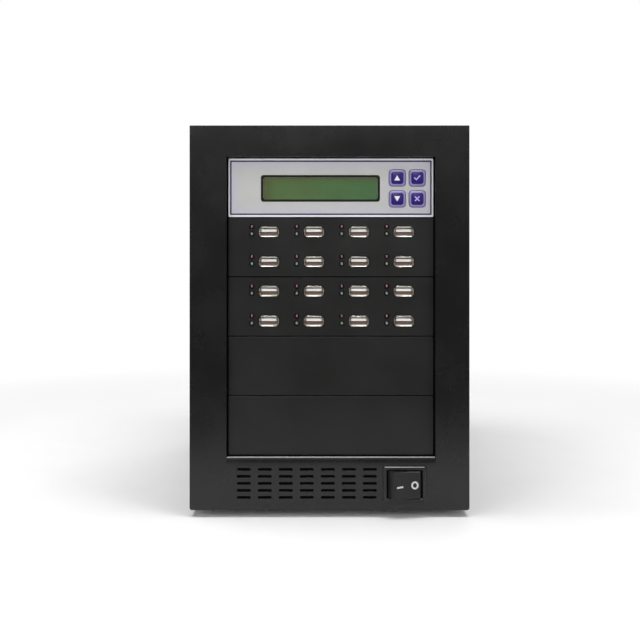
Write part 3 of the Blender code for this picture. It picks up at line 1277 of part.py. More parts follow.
def make_psu_board(tower):
    """Supply board with a transformer, two finned heat sinks and capacitors."""
    x0, y0, z0 = psu_place()
    lift = SHEET + PSU_BOARD_LIFT + GAP
    bm = bmesh.new()
    half = PSU_BOARD_WIDTH / 2.0
    box(bm, (-half, half), (PSU_BOARD_SETBACK, PSU_BOARD_SETBACK + PSU_BOARD_LENGTH),
        (0.0, BOARD_THICKNESS))
    board = node("psu_board", bm, "green_board", tower, (x0, y0, z0 + lift))
    parts = bmesh.new()
    foot = BOARD_THICKNESS - SINK
    middle = PSU_BOARD_SETBACK + PSU_BOARD_LENGTH / 2.0
    box(parts, around(0.0, TRANSFORMER_WIDTH), around(middle, TRANSFORMER_LENGTH),
        (foot, foot + TRANSFORMER_HEIGHT))
    for sign in (-1.0, 1.0):
        outline = comb_outline(HEATSINK_BASE, HEATSINK_FIN, HEATSINK_FIN_HEIGHT,
                               HEATSINK_FIN_COUNT, PSU_BOARD_LENGTH * SUPPLY_SINK_SHARE, sign)
        shifted = [(sign * SUPPLY_SINK_X + u, middle + v) for u, v in outline]
        prism(parts, shifted, "Z", foot, foot + SUPPLY_SINK_HEIGHT)
    for column in range(CAPACITOR_COUNT):
        y = middle + (column - (CAPACITOR_COUNT - 1) / 2.0) * CAPACITOR_PITCH
        prism(parts, circle(CAPACITOR_RADIUS, SMALL_SIDES, (CAPACITOR_X, y)), "Z",
              foot, foot + CAPACITOR_HEIGHT)
    join(board, parts)


def comb_outline(base, fin, fin_height, count, length, sign):
    """Cross-section of a finned heat sink, with the fins pointing to sign."""
    pitch = (length - fin) / (count - 1)
    points = [(0.0, length / 2.0), (0.0, -length / 2.0)]
    for number in range(count):
        start = -length / 2.0 + number * pitch
        points.append((sign * (base + fin_height), start))
        points.append((sign * (base + fin_height), start + fin))
        if number < count - 1:
            points.append((sign * base, start + fin))
            points.append((sign * base, start + pitch))
    return points


def make_mains_inlet(tower):
    """Three-pin inlet with a keyed well, in the supply's rear wall."""
    x0, y0, z0 = psu_place()
    at = (x0 + INLET_X, y0 + PSU_DEPTH, z0 + INLET_HEIGHT)
    body = rounded_rectangle(INLET_WIDTH, INLET_TALL, GAP)
    flange = rounded_rectangle(INLET_WIDTH + 2.0 * INLET_FLANGE_RIM,
                               INLET_TALL + 2.0 * INLET_FLANGE_RIM, INLET_FLANGE_RIM)
    sections = [(body, -INLET_DEPTH), (body, GAP), (flange, GAP), (flange, GAP + INLET_FLANGE)]
    bm = bmesh.new()
    loft(bm, [place(outline, "Y", y) for outline, y in sections])
    inlet = node("mains_inlet", bm, "black_plastic", tower, at)

    well = bmesh.new()
    floor = GAP + INLET_FLANGE - INLET_WELL_DEPTH
    w, h = INLET_WELL_WIDTH / 2.0, INLET_WELL_HEIGHT / 2.0
    key = INLET_WELL_HEIGHT * INLET_KEY_SHARE
    outline = [(-w, -h), (w, -h), (w, h - key), (w - key, h), (-w + key, h), (-w, h - key)]
    prism(well, outline, "Y", floor, GAP + INLET_FLANGE + OVERRUN)
    cut(inlet, well)

    pins = bmesh.new()
    back = -INLET_DEPTH
    for x, z in ((-INLET_PIN_SPREAD, -INLET_PIN_RISE), (INLET_PIN_SPREAD, -INLET_PIN_RISE),
                 (0.0, INLET_PIN_RISE)):
        box(pins, around(x, INLET_PIN_WIDTH), (floor - SINK, floor + INLET_PIN_LENGTH),
            around(z, INLET_PIN_HEIGHT))
        box(pins, around(x, TERMINAL_THICKNESS), (back - TERMINAL_LENGTH, back + SINK),
            around(z, INLET_PIN_HEIGHT))
    join(inlet, pins)


def make_psu_fan(tower):
    x0, y0, z0 = psu_place()
    at = (x0 + PSU_FAN_X, y0 + PSU_DEPTH - SHEET - GAP, z0 + PSU_HEIGHT / 2.0)
    make_fan_frame("psu_fan_frame", tower, at)
    make_fan_rotor("psu_fan_rotor", tower, at)


# Controller board and the ribbon cable behind the bays
CONTROLLER_Z = FLOOR_Z + CONTROLLER_LIFT + GAP


def make_controller(tower):
    """Board on the tray's standoffs, with chips, a heat sink and a header."""
    at = (0.0, CONTROLLER_SETBACK, CONTROLLER_Z)
    half = CONTROLLER_WIDTH / 2.0
    bm = bmesh.new()
    box(bm, (-half, half), (0.0, CONTROLLER_DEPTH), (0.0, BOARD_THICKNESS))
    board = node("controller_board", bm, "green_board", tower, at)
    parts = bmesh.new()
    foot = BOARD_THICKNESS - SINK
    middle = CONTROLLER_DEPTH / 2.0
    for x in (-CHIP_SPREAD, CHIP_SPREAD):
        box(parts, around(x, CHIP_SIZE), around(middle, CHIP_SIZE),
            (foot, BOARD_THICKNESS + CHIP_HEIGHT))
    comb = comb_outline(HEATSINK_BASE, HEATSINK_FIN, HEATSINK_FIN_HEIGHT,
                        HEATSINK_FIN_COUNT, HEATSINK_SIZE, 1.0)
    outline = [(v, foot + u) for u, v in comb]
    prism(parts, outline, "Y", *around(middle, HEATSINK_SIZE))
    box(parts, around(0.0, HEADER_WIDTH), around(CONTROLLER_HEADER_Y, HEADER_HEIGHT),
        (foot, BOARD_THICKNESS + HEADER_DEPTH))
    join(board, parts)


def rounded_path(corners, radius):
    """A (y, z) path through corners, each replaced by an arc-like bend."""
    points = [corners[0]]
    for before, corner, after in zip(corners, corners[1:], corners[2:]):
        for step in range(CORNER_STEPS + 1):
            share = step / CORNER_STEPS
            point = []
            for axis in (0, 1):
                start = corner[axis] + unit(corner, before)[axis] * radius
                end = corner[axis] + unit(corner, after)[axis] * radius
                point.append((1.0 - share) ** 2 * start + 2.0 * share * (1.0 - share)
                             * corner[axis] + share ** 2 * end)
            points.append(tuple(point))
    points.append(corners[-1])
    return points


def unit(start, end):
    length = math.hypot(end[0] - start[0], end[1] - start[1])
    return ((end[0] - start[0]) / length, (end[1] - start[1]) / length)


def strip_outline(path, thickness):
    """Both sides of a strip that follows a (y, z) path."""
    left, right = [], []
    for i, point in enumerate(path):
        along = unit(path[max(i - 1, 0)], path[min(i + 1, len(path) - 1)])
        offset = (-along[1] * thickness / 2.0, along[0] * thickness / 2.0)
        left.append((point[0] + offset[0], point[1] + offset[1]))
        right.append((point[0] - offset[0], point[1] - offset[1]))
    return left + right[::-1]


def make_ribbon(tower):
    """Flat cable from the display board past the socket boards to the controller."""
    half = RIBBON_THICKNESS / 2.0
    display_y = (MODULE_RECESS + DISPLAY_BOARD_FRONT + BOARD_THICKNESS + HEADER_DEPTH
                 + GAP + half)
    socket_y = MODULE_RECESS + PORT_DEPTH + GAP + BOARD_THICKNESS + HEADER_DEPTH + GAP + half
    controller_y = CONTROLLER_SETBACK + CONTROLLER_HEADER_Y
    top = bay_centre_z(0) + HEADER_HEIGHT / 2.0
    bend = BAY_PITCH * RIBBON_BEND_SHARE
    low = bay_centre_z(BAY_COUNT - 1)
    end = CONTROLLER_Z + BOARD_THICKNESS + HEADER_DEPTH + GAP
    corners = [(display_y, top), (display_y, bay_centre_z(0) - bend),
               (socket_y, bay_centre_z(0) - 2.0 * bend), (socket_y, low),
               (controller_y, low - bend), (controller_y, end)]
    outline = strip_outline(rounded_path(corners, RIBBON_RADIUS), RIBBON_THICKNESS)
    bm = bmesh.new()
    prism(bm, outline, "X", *around(0.0, RIBBON_WIDTH))
    node("ribbon_cable", bm, "ribbon_grey", tower, (BAY_CENTRE_X, 0.0, 0.0))


def main():
    clear_scene()
    tower = bpy.data.objects.new("tower", None)
    tower.location = (0.0, FRONT_Y, 0.0)
    bpy.context.scene.collection.objects.link(tower)
    make_front_panel(tower)
    make_tray(tower)
    make_feet(tower)
    make_rear_panel(tower)
    make_cover(tower)
    make_cover_screws(tower)
    make_cage(tower)
    make_display_face(tower)
    make_display(tower)
    make_keys(tower)
    make_usb_modules(tower)
    make_blank_covers(tower)
    make_switch(tower)
    make_psu_case(tower)
    make_psu_board(tower)
    make_mains_inlet(tower)
    make_psu_fan(tower)
    make_rear_fan(tower)
    make_controller(tower)
    make_ribbon(tower)


main()
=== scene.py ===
"""Looks of the five-bay duplicator tower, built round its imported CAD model.

Every mesh is in metres in the row frame: +X right, +Z up, the front looks along -Y.
"""

import math

import bmesh
import bpy
from mathutils import Matrix, Vector


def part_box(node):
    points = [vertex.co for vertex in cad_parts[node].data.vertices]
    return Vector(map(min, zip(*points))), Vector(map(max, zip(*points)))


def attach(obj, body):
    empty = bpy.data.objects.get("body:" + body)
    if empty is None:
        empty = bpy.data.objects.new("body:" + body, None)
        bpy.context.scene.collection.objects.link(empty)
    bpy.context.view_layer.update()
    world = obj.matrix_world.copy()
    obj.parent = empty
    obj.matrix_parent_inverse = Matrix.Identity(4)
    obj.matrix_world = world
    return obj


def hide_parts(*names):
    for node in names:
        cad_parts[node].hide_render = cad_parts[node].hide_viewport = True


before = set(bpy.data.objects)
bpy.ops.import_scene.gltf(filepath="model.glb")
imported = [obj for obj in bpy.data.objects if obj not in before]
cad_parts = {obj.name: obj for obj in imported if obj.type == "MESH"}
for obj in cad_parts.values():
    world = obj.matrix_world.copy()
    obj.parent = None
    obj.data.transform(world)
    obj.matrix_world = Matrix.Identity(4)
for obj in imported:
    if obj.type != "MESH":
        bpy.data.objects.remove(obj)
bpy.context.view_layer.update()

MM = 0.001
DEGREE = math.pi / 180.0
CHASSIS = "chassis"

# Sizes repeated from the CAD source
GAP = 0.3 * MM
OVERRUN = 1.0 * MM
SINK = 0.6 * MM
SHEET = 1.0 * MM
FRONT_SHEET = 1.2 * MM
PANEL_RETURN = 12.0 * MM
REAR_RETURN = 12.0 * MM
COVER_REAR_FLANGE = 12.0 * MM
TRAY_FLANGE = 12.0 * MM
BAY_LIP = 8.0 * MM
BAY_OPENING_WIDTH = 149.1 * MM
BAY_SPACING = 0.8 * MM
MODULE_FACE = 2.5 * MM
MODULE_RIM = 8.0 * MM
MODULE_WALL = 2.2 * MM
RIM_INSET = 0.4 * MM
ARM_INSET = 0.6 * MM
ARM_THICKNESS = 1.6 * MM
ARM_HEIGHT = 33.9 * MM
ARM_DEPTH = 60.0 * MM
ARM_HOLE_RADIUS = 1.6 * MM
ARM_HOLE_SETBACK = 26.0 * MM
BLANK_ARM_DEPTH = 34.0 * MM
BLANK_RIB_COUNT = 5
BLANK_RIB = 1.4 * MM
BLANK_RIB_DEPTH = 4.0 * MM
BOSS_RADIUS = 2.4 * MM
SLIM_BOSS_RADIUS = 1.68 * MM
VENT_COLUMNS = 7
VENT_ROWS = 5
VENT_LENGTH = 10.0 * MM
VENT_WIDTH = 2.0 * MM
VENT_PITCH_X = 15.0 * MM
VENT_PITCH_Z = 5.0 * MM
VENT_CENTRE_X = -16.2 * MM
VENT_CENTRE_HEIGHT = 19.2 * MM
SWITCH_X = 53.6 * MM
SWITCH_HEIGHT = 18.8 * MM
BEZEL_WIDTH = 31.0 * MM
BEZEL_HEIGHT = 25.5 * MM
BEZEL_RADIUS = 1.5 * MM
BEZEL_THICKNESS = 2.0 * MM
SWITCH_BODY_WIDTH = 28.0 * MM
SWITCH_BODY_HEIGHT = 21.0 * MM
SWITCH_BODY_DEPTH = 20.0 * MM
SWITCH_WELL_WIDTH = 25.0 * MM
SWITCH_WELL_HEIGHT = 19.8 * MM
SWITCH_WELL_DEPTH = 17.0 * MM
SWITCH_CATCH = 0.9 * MM
SWITCH_CATCH_LENGTH = 5.0 * MM
SWITCH_CATCH_HEIGHT = 10.0 * MM
TERMINAL_WIDTH = 6.3 * MM
TERMINAL_THICKNESS = 0.8 * MM
TERMINAL_LENGTH = 8.0 * MM
TERMINAL_SPREAD_X = 8.0 * MM
TERMINAL_SPREAD_Z = 5.0 * MM
ROCKER_PIVOT_Y = 2.0 * MM
ROCKER_HEIGHT = 19.2 * MM
ROCKER_END_RADIUS = 12.2 * MM
ROCKER_PEAK_X = 9.0 * MM
ROCKER_DISH = 1.2 * MM
ROCKER_SKIRT = 1.6 * MM
ROCKER_KEEL_X = 3.0 * MM
ROCKER_KEEL = 6.5 * MM
ROCKER_PIN_RADIUS = 1.1 * MM
ROCKER_REST_ANGLE = 13.0 * DEGREE
ROCKER_PEAK_ANGLE = math.acos(ROCKER_PEAK_X / ROCKER_END_RADIUS)
COVER_SCREW_HEAD_RADIUS = 5.0 * MM
COVER_SCREW_HEAD = 9.0 * MM
COVER_SCREW_RADIUS = 1.7 * MM
COVER_SCREW_REACH = 6.0 * MM
LOUVRE_COUNT = 7
LOUVRE_LENGTH = 90.0 * MM
LOUVRE_WIDTH = 3.0 * MM
LOUVRE_PITCH = 10.0 * MM
LOUVRE_SETBACK = 250.0 * MM
LOUVRE_HEIGHT = 150.0 * MM
PSU_WIDTH = 150.0 * MM
PSU_HEIGHT = 86.0 * MM
PSU_DEPTH = 140.0 * MM
PSU_FRAME = 6.0 * MM
PSU_FAN_X = -28.0 * MM
PSU_GRILLE_ROWS = 7
PSU_GRILLE_WIDTH = 5.0 * MM
PSU_VENT_COUNT = 6
PSU_VENT_PITCH = 12.0 * MM
PSU_VENT_LENGTH = 50.0 * MM
PSU_VENT_WIDTH = 3.0 * MM
INLET_X = 46.0 * MM
INLET_HEIGHT = 26.0 * MM
INLET_WIDTH = 27.0 * MM
INLET_TALL = 19.5 * MM
INLET_FLANGE = 2.4 * MM
INLET_FLANGE_RIM = 2.2 * MM
INLET_DEPTH = 20.0 * MM
INLET_WELL_WIDTH = 22.4 * MM
INLET_WELL_HEIGHT = 14.4 * MM
INLET_WELL_DEPTH = 16.0 * MM
INLET_WELL_CUT = 4.32 * MM
INLET_PIN_WIDTH = 2.0 * MM
INLET_PIN_HEIGHT = 4.0 * MM
INLET_PIN_SPREAD = 7.0 * MM
INLET_PIN_RISE = 2.0 * MM
INLET_PIN_LENGTH = 13.0 * MM
FAN_SIZE = 80.0 * MM
FAN_DEPTH = 25.0 * MM
FAN_CORNER = 4.0 * MM
FAN_BORE_RADIUS = 38.0 * MM
FAN_HOLE_PITCH = 71.5 * MM
FAN_HOLE_RADIUS = 2.1 * MM
FAN_MOTOR_RADIUS = 16.0 * MM
FAN_MOTOR_DEPTH = 3.0 * MM
FAN_STRUT = 3.0 * MM
FAN_STRUT_COUNT = 4
FAN_STRUT_REACH = 40.5 * MM
FAN_SEAT_INSET = 0.5 * MM
FAN_HUB_RADIUS = 15.0 * MM
FAN_HUB_CHAMFER = 1.5 * MM
FAN_AXLE_RADIUS = 1.5 * MM
FAN_FRONT_CLEARANCE = 1.5 * MM
FAN_TIP_RADIUS = 36.6 * MM
FAN_BLADE_ROOT = 13.5 * MM
FAN_BLADE_COUNT = 7
FAN_BLADE_THICKNESS = 1.4 * MM
FAN_BLADE_CAMBER = 1.6 * MM
FAN_ROOT_CHORD = 15.0 * MM
FAN_TIP_CHORD = 21.0 * MM
FAN_ROOT_PITCH = 48.0 * DEGREE
FAN_TIP_PITCH = 30.0 * DEGREE
GUARD_WIRE = 1.6 * MM
GUARD_RING_COUNT = 3
GUARD_RING_PITCH = 11.8 * MM
GUARD_EAR_RADIUS = 4.0 * MM
GUARD_BOW = 1.2 * MM
LENS_WIDTH = 85.6 * MM
LENS_HEIGHT = 19.3 * MM
LENS_RADIUS = 1.6 * MM
LENS_THICKNESS = 1.0 * MM
LENS_X = -7.5 * MM
LENS_Z = -0.5 * MM
DISPLAY_BACK = 9.8 * MM
DISPLAY_BOSS_X = 61.0 * MM
DISPLAY_BOSS_Z = 16.0 * MM
DISPLAY_BOSS_RIGHT_X = 36.0 * MM
KEY_COLUMN_X = 47.7 * MM
KEY_COLUMN_PITCH = 14.35 * MM
KEY_UPPER_Z = 7.0 * MM
KEY_LOWER_Z = -8.0 * MM
KEY_BASE = 11.8 * MM
KEY_BASE_RADIUS = 2.4 * MM
KEY_TOP = 8.9 * MM
KEY_TOP_RADIUS = 1.2 * MM
KEY_PROUD = 1.5 * MM
KEY_STEP = 0.3 * MM
KEY_HOLE_CLEARANCE = 0.3 * MM
KEY_FLANGE = 13.2 * MM
KEY_FLANGE_FRONT = 2.8 * MM
KEY_FLANGE_BACK = 3.8 * MM
KEY_STEM_RADIUS = 1.7 * MM
KEY_STEM_LENGTH = 1.6 * MM
KEY_BOARD_FRONT = 7.2 * MM
KEY_BOSS_Z = 16.3 * MM
PORT_COLUMNS = 4
PORT_ROWS = 2
PORT_COLUMN_PITCH = 32.3 * MM
PORT_ROW_PITCH = 21.5 * MM
PORT_FIELD_X = 4.0 * MM
PORT_FIELD_Z = 0.3 * MM
PORT_MOUTH_WIDTH = 14.7 * MM
PORT_MOUTH_HEIGHT = 7.6 * MM
PORT_MOUTH_DEPTH = 1.3 * MM
PORT_SHELL_WIDTH = 13.1 * MM
PORT_SHELL_HEIGHT = 5.7 * MM
PORT_WALL = 0.3 * MM
PORT_DEPTH = 14.0 * MM
PORT_WELL_DEPTH = 12.2 * MM
TONGUE_WIDTH = 11.1 * MM
TONGUE_HEIGHT = 1.8 * MM
TONGUE_TOP_GAP = 0.7 * MM
TONGUE_RECESS = 1.1 * MM
PORT_HOLE_CLEARANCE = 0.3 * MM
LAMP_RADIUS = 1.5 * MM
LAMP_HOLE_CLEARANCE = 0.4 * MM
LAMP_X = -12.3 * MM
LAMP_UPPER_Z = 3.5 * MM
LAMP_LOWER_Z = -1.6 * MM
USB_BOARD_WIDTH = 139.0 * MM
USB_BOARD_HEIGHT = 37.4 * MM
USB_BOSS_X = 66.0 * MM
USB_BOSS_Z = 15.0 * MM
BOARD_THICKNESS = 1.6 * MM
HEADER_WIDTH = 24.0 * MM
HEADER_HEIGHT = 6.0 * MM
HEADER_DEPTH = 8.0 * MM
RIBBON_WIDTH = 20.0 * MM

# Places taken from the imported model
panel_low, panel_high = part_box("front_panel")
rear_low, rear_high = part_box("rear_panel")
cover_low, cover_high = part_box("top_cover")
FRONT_Y = panel_low.y
BASE_Z = panel_low.z
TOP_Z = panel_high.z
HALF_WIDTH = panel_high.x
REAR_Y = rear_high.y
COVER_INNER_X = HALF_WIDTH - SHEET


def middle(node):
    """Centre of a CAD node's box at rest."""
    low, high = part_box(node)
    return (low + high) / 2.0


def face_place(node):
    """Centre of a bay module's face, on its front plane."""
    low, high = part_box(node)
    return Vector(((low.x + high.x) / 2.0, low.y, (low.z + high.z) / 2.0))


# Outlines, as lists of (u, v) points
def rectangle(width, height, centre=(0.0, 0.0)):
    u, v = centre
    w, h = width / 2.0, height / 2.0
    return [(u - w, v - h), (u + w, v - h), (u + w, v + h), (u - w, v + h)]


def cut_corners(width, height, upper, lower, centre=(0.0, 0.0)):
    """A rectangle whose upper and lower corners are cut off."""
    u, v = centre
    w, h = width / 2.0, height / 2.0
    return [(u + w - lower, v - h), (u + w, v - h + lower), (u + w, v + h - upper),
            (u + w - upper, v + h), (u - w + upper, v + h), (u - w, v + h - upper),
            (u - w, v - h + lower), (u - w + lower, v - h)]


def rounded(width, height, radius, centre=(0.0, 0.0), steps=6):
    """A rectangle with round corners."""
    points = []
    for corner in range(4):
        sign_u = 1.0 if corner in (0, 3) else -1.0
        sign_v = 1.0 if corner in (0, 1) else -1.0
        u = centre[0] + sign_u * (width / 2.0 - radius)
        v = centre[1] + sign_v * (height / 2.0 - radius)
        for step in range(steps + 1):
            angle = math.pi / 2.0 * (corner + step / steps)
            points.append((u + radius * math.cos(angle), v + radius * math.sin(angle)))
    return points


def round_ended(width, height, upper, lower, centre, steps=8):
    """Rectangle with one corner radius at its top and another at its bottom."""
    points = []
    for index, (sx, sz) in enumerate(((1, 1), (-1, 1), (-1, -1), (1, -1))):
        radius = upper if sz > 0 else lower
        for step in range(steps + 1):
            angle = math.pi / 2.0 * (index + step / steps)
            points.append((centre[0] + sx * (width / 2.0 - radius) + radius * math.cos(angle),
                           centre[1] + sz * (height / 2.0 - radius) + radius * math.sin(angle)))
    return points


def circle(radius, sides=48, centre=(0.0, 0.0), turn=0.0, tall=1.0):
    points = []
    for side in range(sides):
        angle = turn + 2.0 * math.pi * side / sides
        points.append((centre[0] + radius * math.cos(angle),
                       centre[1] + tall * radius * math.sin(angle)))
    return points


def slot(length, width, centre=(0.0, 0.0), steps=8, upright=False):
    """A slot with round ends, along u, or along v when upright."""
    radius = width / 2.0
    points = []
    for end, sign in enumerate((1.0, -1.0)):
        for step in range(steps + 1):
            angle = math.pi * (end + step / steps) - math.pi / 2.0
            along = sign * (length / 2.0 - radius) + radius * math.cos(angle)
            across = radius * math.sin(angle)
            if upright:
                along, across = -across, along
            points.append((centre[0] + along, centre[1] + across))
    return points


# Solids, added to a bmesh
def lay(outline, axis, at):
    """Put a flat outline into space, square to an axis at one coordinate."""
    if axis == "X":
        return [(at, u, v) for u, v in outline]
    if axis == "Y":
        return [(u, at, v) for u, v in outline]
    return [(u, v, at) for u, v in outline]


def loft(bm, loops, ring=False, finish=0, finishes=None):
    """Join loops of equally many points by quads, and cap or close the ends."""
    rows = [[bm.verts.new(point) for point in loop] for loop in loops]
    count = len(rows[0])
    faces = []
    pairs = list(zip(rows, rows[1:]))
    if ring:
        pairs.append((rows[-1], rows[0]))
    else:
        faces.append(bm.faces.new(rows[0]))
        faces.append(bm.faces.new(rows[-1]))
        for face in faces:
            face.material_index = finish
        if finishes:
            faces[1].material_index = finishes[-1]
    for number, (first, second) in enumerate(pairs):
        for i in range(count):
            j = (i + 1) % count
            face = bm.faces.new((first[i], first[j], second[j], second[i]))
            face.material_index = finishes[number] if finishes else finish
            faces.append(face)
    bmesh.ops.recalc_face_normals(bm, faces=faces)
    return faces


def prism(bm, outline, axis, start, end, finish=0):
    loft(bm, [lay(outline, axis, start), lay(outline, axis, end)], finish=finish)


def sleeve(bm, outer, inner, axis, start, end, finish=0):
    """Extrude the ring between two outlines of equally many points."""
    loops = [lay(outer, axis, start), lay(outer, axis, end),
             lay(inner, axis, end), lay(inner, axis, start)]
    loft(bm, loops, ring=True, finish=finish)


def box(bm, x, y, z, finish=0):
    outline = [(x[0], y[0]), (x[1], y[0]), (x[1], y[1]), (x[0], y[1])]
    prism(bm, outline, "Z", z[0], z[1], finish)


def around(centre, size):
    return (centre - size / 2.0, centre + size / 2.0)


def shifted(bm, offset):
    """Move a whole bmesh by an offset."""
    bmesh.ops.translate(bm, vec=Vector(offset), verts=bm.verts)
    return bm


# Objects
def to_mesh(name, bm, smooth_angle=32.0 * DEGREE):
    mesh = bpy.data.meshes.new(name)
    bm.to_mesh(mesh)
    bm.free()
    mesh.shade_smooth()
    mesh.set_sharp_from_angle(angle=smooth_angle)
    return mesh


def new_object(name, mesh, at=(0.0, 0.0, 0.0)):
    obj = bpy.data.objects.new(name, mesh)
    obj.location = at
    bpy.context.scene.collection.objects.link(obj)
    return obj


def evaluated_mesh(obj):
    """The object's mesh with its modifiers applied."""
    bpy.context.view_layer.update()
    graph = bpy.context.evaluated_depsgraph_get()
    return bpy.data.meshes.new_from_object(obj.evaluated_get(graph))


def combine(obj, bm, operation):
    """Cut or join a bmesh with an exact Boolean, applied at once."""
    operand = new_object(f"{obj.name}_operand", to_mesh(f"{obj.name}_operand", bm))
    for material in obj.data.materials:
        operand.data.materials.append(material)
    modifier = obj.modifiers.new("combine", "BOOLEAN")
    modifier.operation = operation
    modifier.solver = "EXACT"
    modifier.object = operand
    mesh = evaluated_mesh(obj)
    obj.modifiers.clear()
    old, obj.data = obj.data, mesh
    mesh.name = obj.name
    bpy.data.objects.remove(operand, do_unlink=True)
    bpy.data.meshes.remove(old)


def cut(obj, bm):
    combine(obj, bm, "DIFFERENCE")


def join(obj, bm):
    combine(obj, bm, "UNION")


def soften(obj, width, segments=2, angle=38.0 * DEGREE, sheet=False):
    """Round every sharp edge of an object a little; a sheet's flats keep flat normals."""
    obj.data.shade_smooth()
    obj.data.set_sharp_from_angle(angle=angle)
    modifier = obj.modifiers.new("edges", "BEVEL")
    modifier.width = width
    modifier.segments = segments
    modifier.limit_method = "ANGLE"
    modifier.angle_limit = angle
    modifier.harden_normals = not sheet
    modifier.miter_outer = "MITER_ARC"
    if sheet:
        modifier.face_strength_mode = "FSTR_ALL"
        normals = obj.modifiers.new("flat_normals", "WEIGHTED_NORMAL")
        normals.keep_sharp = True
        normals.use_face_influence = True


def fold(obj, rule, radius, segments=10):
    """Round the folds of a sheet: the rule gives each edge its share of the radius."""
    mesh = obj.data
    weights = mesh.attributes.new("bevel_weight_edge", "FLOAT", "EDGE")
    for edge in mesh.edges:
        start, end = (mesh.vertices[i].co for i in edge.vertices)
        weights.data[edge.index].value = float(rule(start, end))
    modifier = obj.modifiers.new("folds", "BEVEL")
    modifier.width = radius
    modifier.segments = segments
    modifier.limit_method = "WEIGHT"
    modifier.face_strength_mode = "FSTR_ALL"


def piece(name, mesh, finishes, body=CHASSIS, at=(0.0, 0.0, 0.0), node=None):
    """Link a mesh as one visible piece that rides on a body."""
    obj = new_object(name, mesh, at)
    if not mesh.materials:
        for finish in finishes:
            mesh.materials.append(finish)
    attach(obj, body)
    if node:
        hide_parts(node)
    return obj


# Materials
def put(tree, kind, settings=None, **inputs):
    """Add a node; inputs are numbers, colours or sockets, by name or in0, in1."""
    node = tree.nodes.new(kind)
    for key, value in (settings or {}).items():
        setattr(node, key, value)
    for key, value in inputs.items():
        plain = key[2:].isdigit() and key[:2] == "in"
        socket = node.inputs[int(key[2:])] if plain else node.inputs[key.replace("_", " ")]
        if isinstance(value, bpy.types.NodeSocket):
            tree.links.new(value, socket)
        else:
            socket.default_value = value
    return node


def new_material(name, roughness=0.5, metallic=0.0, **sockets):
    """An empty Principled material with its plain numbers set on the shader."""
    material = bpy.data.materials.new(name)
    material.use_nodes = True
    tree = material.node_tree
    shader = tree.nodes["Principled BSDF"]
    shader.inputs["Roughness"].default_value = roughness
    shader.inputs["Metallic"].default_value = metallic
    for key, value in sockets.items():
        shader.inputs[key.replace("_", " ")].default_value = value
    place = tree.nodes.new("ShaderNodeTexCoord").outputs["Object"]
    return material, tree, shader, place


def rgba(colour):
    return (*colour, 1.0)


def noise(tree, place, size, detail=3.0, roughness=0.55, stretch=None):
    """A noise texture whose features are about size wide."""
    if stretch:
        place = put(tree, "ShaderNodeMapping", Vector=place, Scale=stretch).outputs["Vector"]
    return put(tree, "ShaderNodeTexNoise", Vector=place, Scale=1.0 / size, Detail=detail,
               Roughness=roughness).outputs["Fac"]


def blend(tree, factor, first, second):
    """Mix two colours by a factor."""
    node = put(tree, "ShaderNodeMix", {"data_type": "RGBA"})
    for index, value in ((0, factor), (6, first), (7, second)):
        if isinstance(value, bpy.types.NodeSocket):
            tree.links.new(value, node.inputs[index])
        else:
            node.inputs[index].default_value = value
    return node.outputs[2]


def scaled(tree, value, low, high, from_low=0.3, from_high=0.7, clamp=True):
    """Map a value, mostly a noise, onto a range."""
    node = put(tree, "ShaderNodeMapRange", {"clamp": clamp}, Value=value)
    node.inputs["From Min"].default_value = from_low
    node.inputs["From Max"].default_value = from_high
    node.inputs["To Min"].default_value = low
    node.inputs["To Max"].default_value = high
    return node.outputs["Result"]


def calc(tree, operation, first, second=0.0):
    return put(tree, "ShaderNodeMath", {"operation": operation}, in0=first, in1=second).outputs[0]


def axes(tree, place):
    """The x, y and z outputs of a place."""
    return put(tree, "ShaderNodeSeparateXYZ", Vector=place).outputs


def raise_bump(tree, shader, height, distance, strength=0.5):
    bump = put(tree, "ShaderNodeBump", Height=height, Distance=distance, Strength=strength)
    tree.links.new(bump.outputs["Normal"], shader.inputs["Normal"])


def coated(name, dark, light, roughness, grain, bump, spread=0.03, cloud=34.0 * MM, **sockets):
    """Painted sheet or moulded plastic: cloudy colour, fine grain, uneven gloss."""
    material, tree, shader, place = new_material(name, **sockets)
    broad = noise(tree, place, cloud, 4.0)
    fine = noise(tree, place, grain, 2.0)
    mottle = blend(tree, 0.3, broad, fine)
    colour = blend(tree, scaled(tree, mottle, 0.0, 1.0), rgba(dark), rgba(light))
    tree.links.new(colour, shader.inputs["Base Color"])
    gloss = scaled(tree, broad, roughness - spread, roughness + spread)
    tree.links.new(gloss, shader.inputs["Roughness"])
    raise_bump(tree, shader, fine, bump)
    return material


def zinc(name, tint=1.0):
    """Zinc-coated sheet with its faint crystal pattern."""
    material, tree, shader, place = new_material(name, metallic=1.0)
    warped = put(tree, "ShaderNodeVectorMath", {"operation": "ADD"}, in0=place)
    wobble = put(tree, "ShaderNodeTexNoise", Vector=place, Scale=90.0).outputs["Color"]
    wobble = put(tree, "ShaderNodeVectorMath", {"operation": "SCALE"}, in0=wobble)
    wobble.inputs["Scale"].default_value = 4.0 * MM
    tree.links.new(wobble.outputs[0], warped.inputs[1])
    cells = put(tree, "ShaderNodeTexVoronoi", Vector=warped.outputs[0], Scale=1.0 / (5.0 * MM))
    value = put(tree, "ShaderNodeSeparateColor", Color=cells.outputs["Color"]).outputs[0]
    colour = blend(tree, value, rgba((0.41 * tint, 0.42 * tint, 0.44 * tint)),
                   rgba((0.47 * tint, 0.48 * tint, 0.49 * tint)))
    tree.links.new(colour, shader.inputs["Base Color"])
    tree.links.new(scaled(tree, value, 0.34, 0.40, 0.0, 1.0), shader.inputs["Roughness"])
    raise_bump(tree, shader, noise(tree, place, 1.2 * MM, 2.0), 0.02 * MM)
    return material


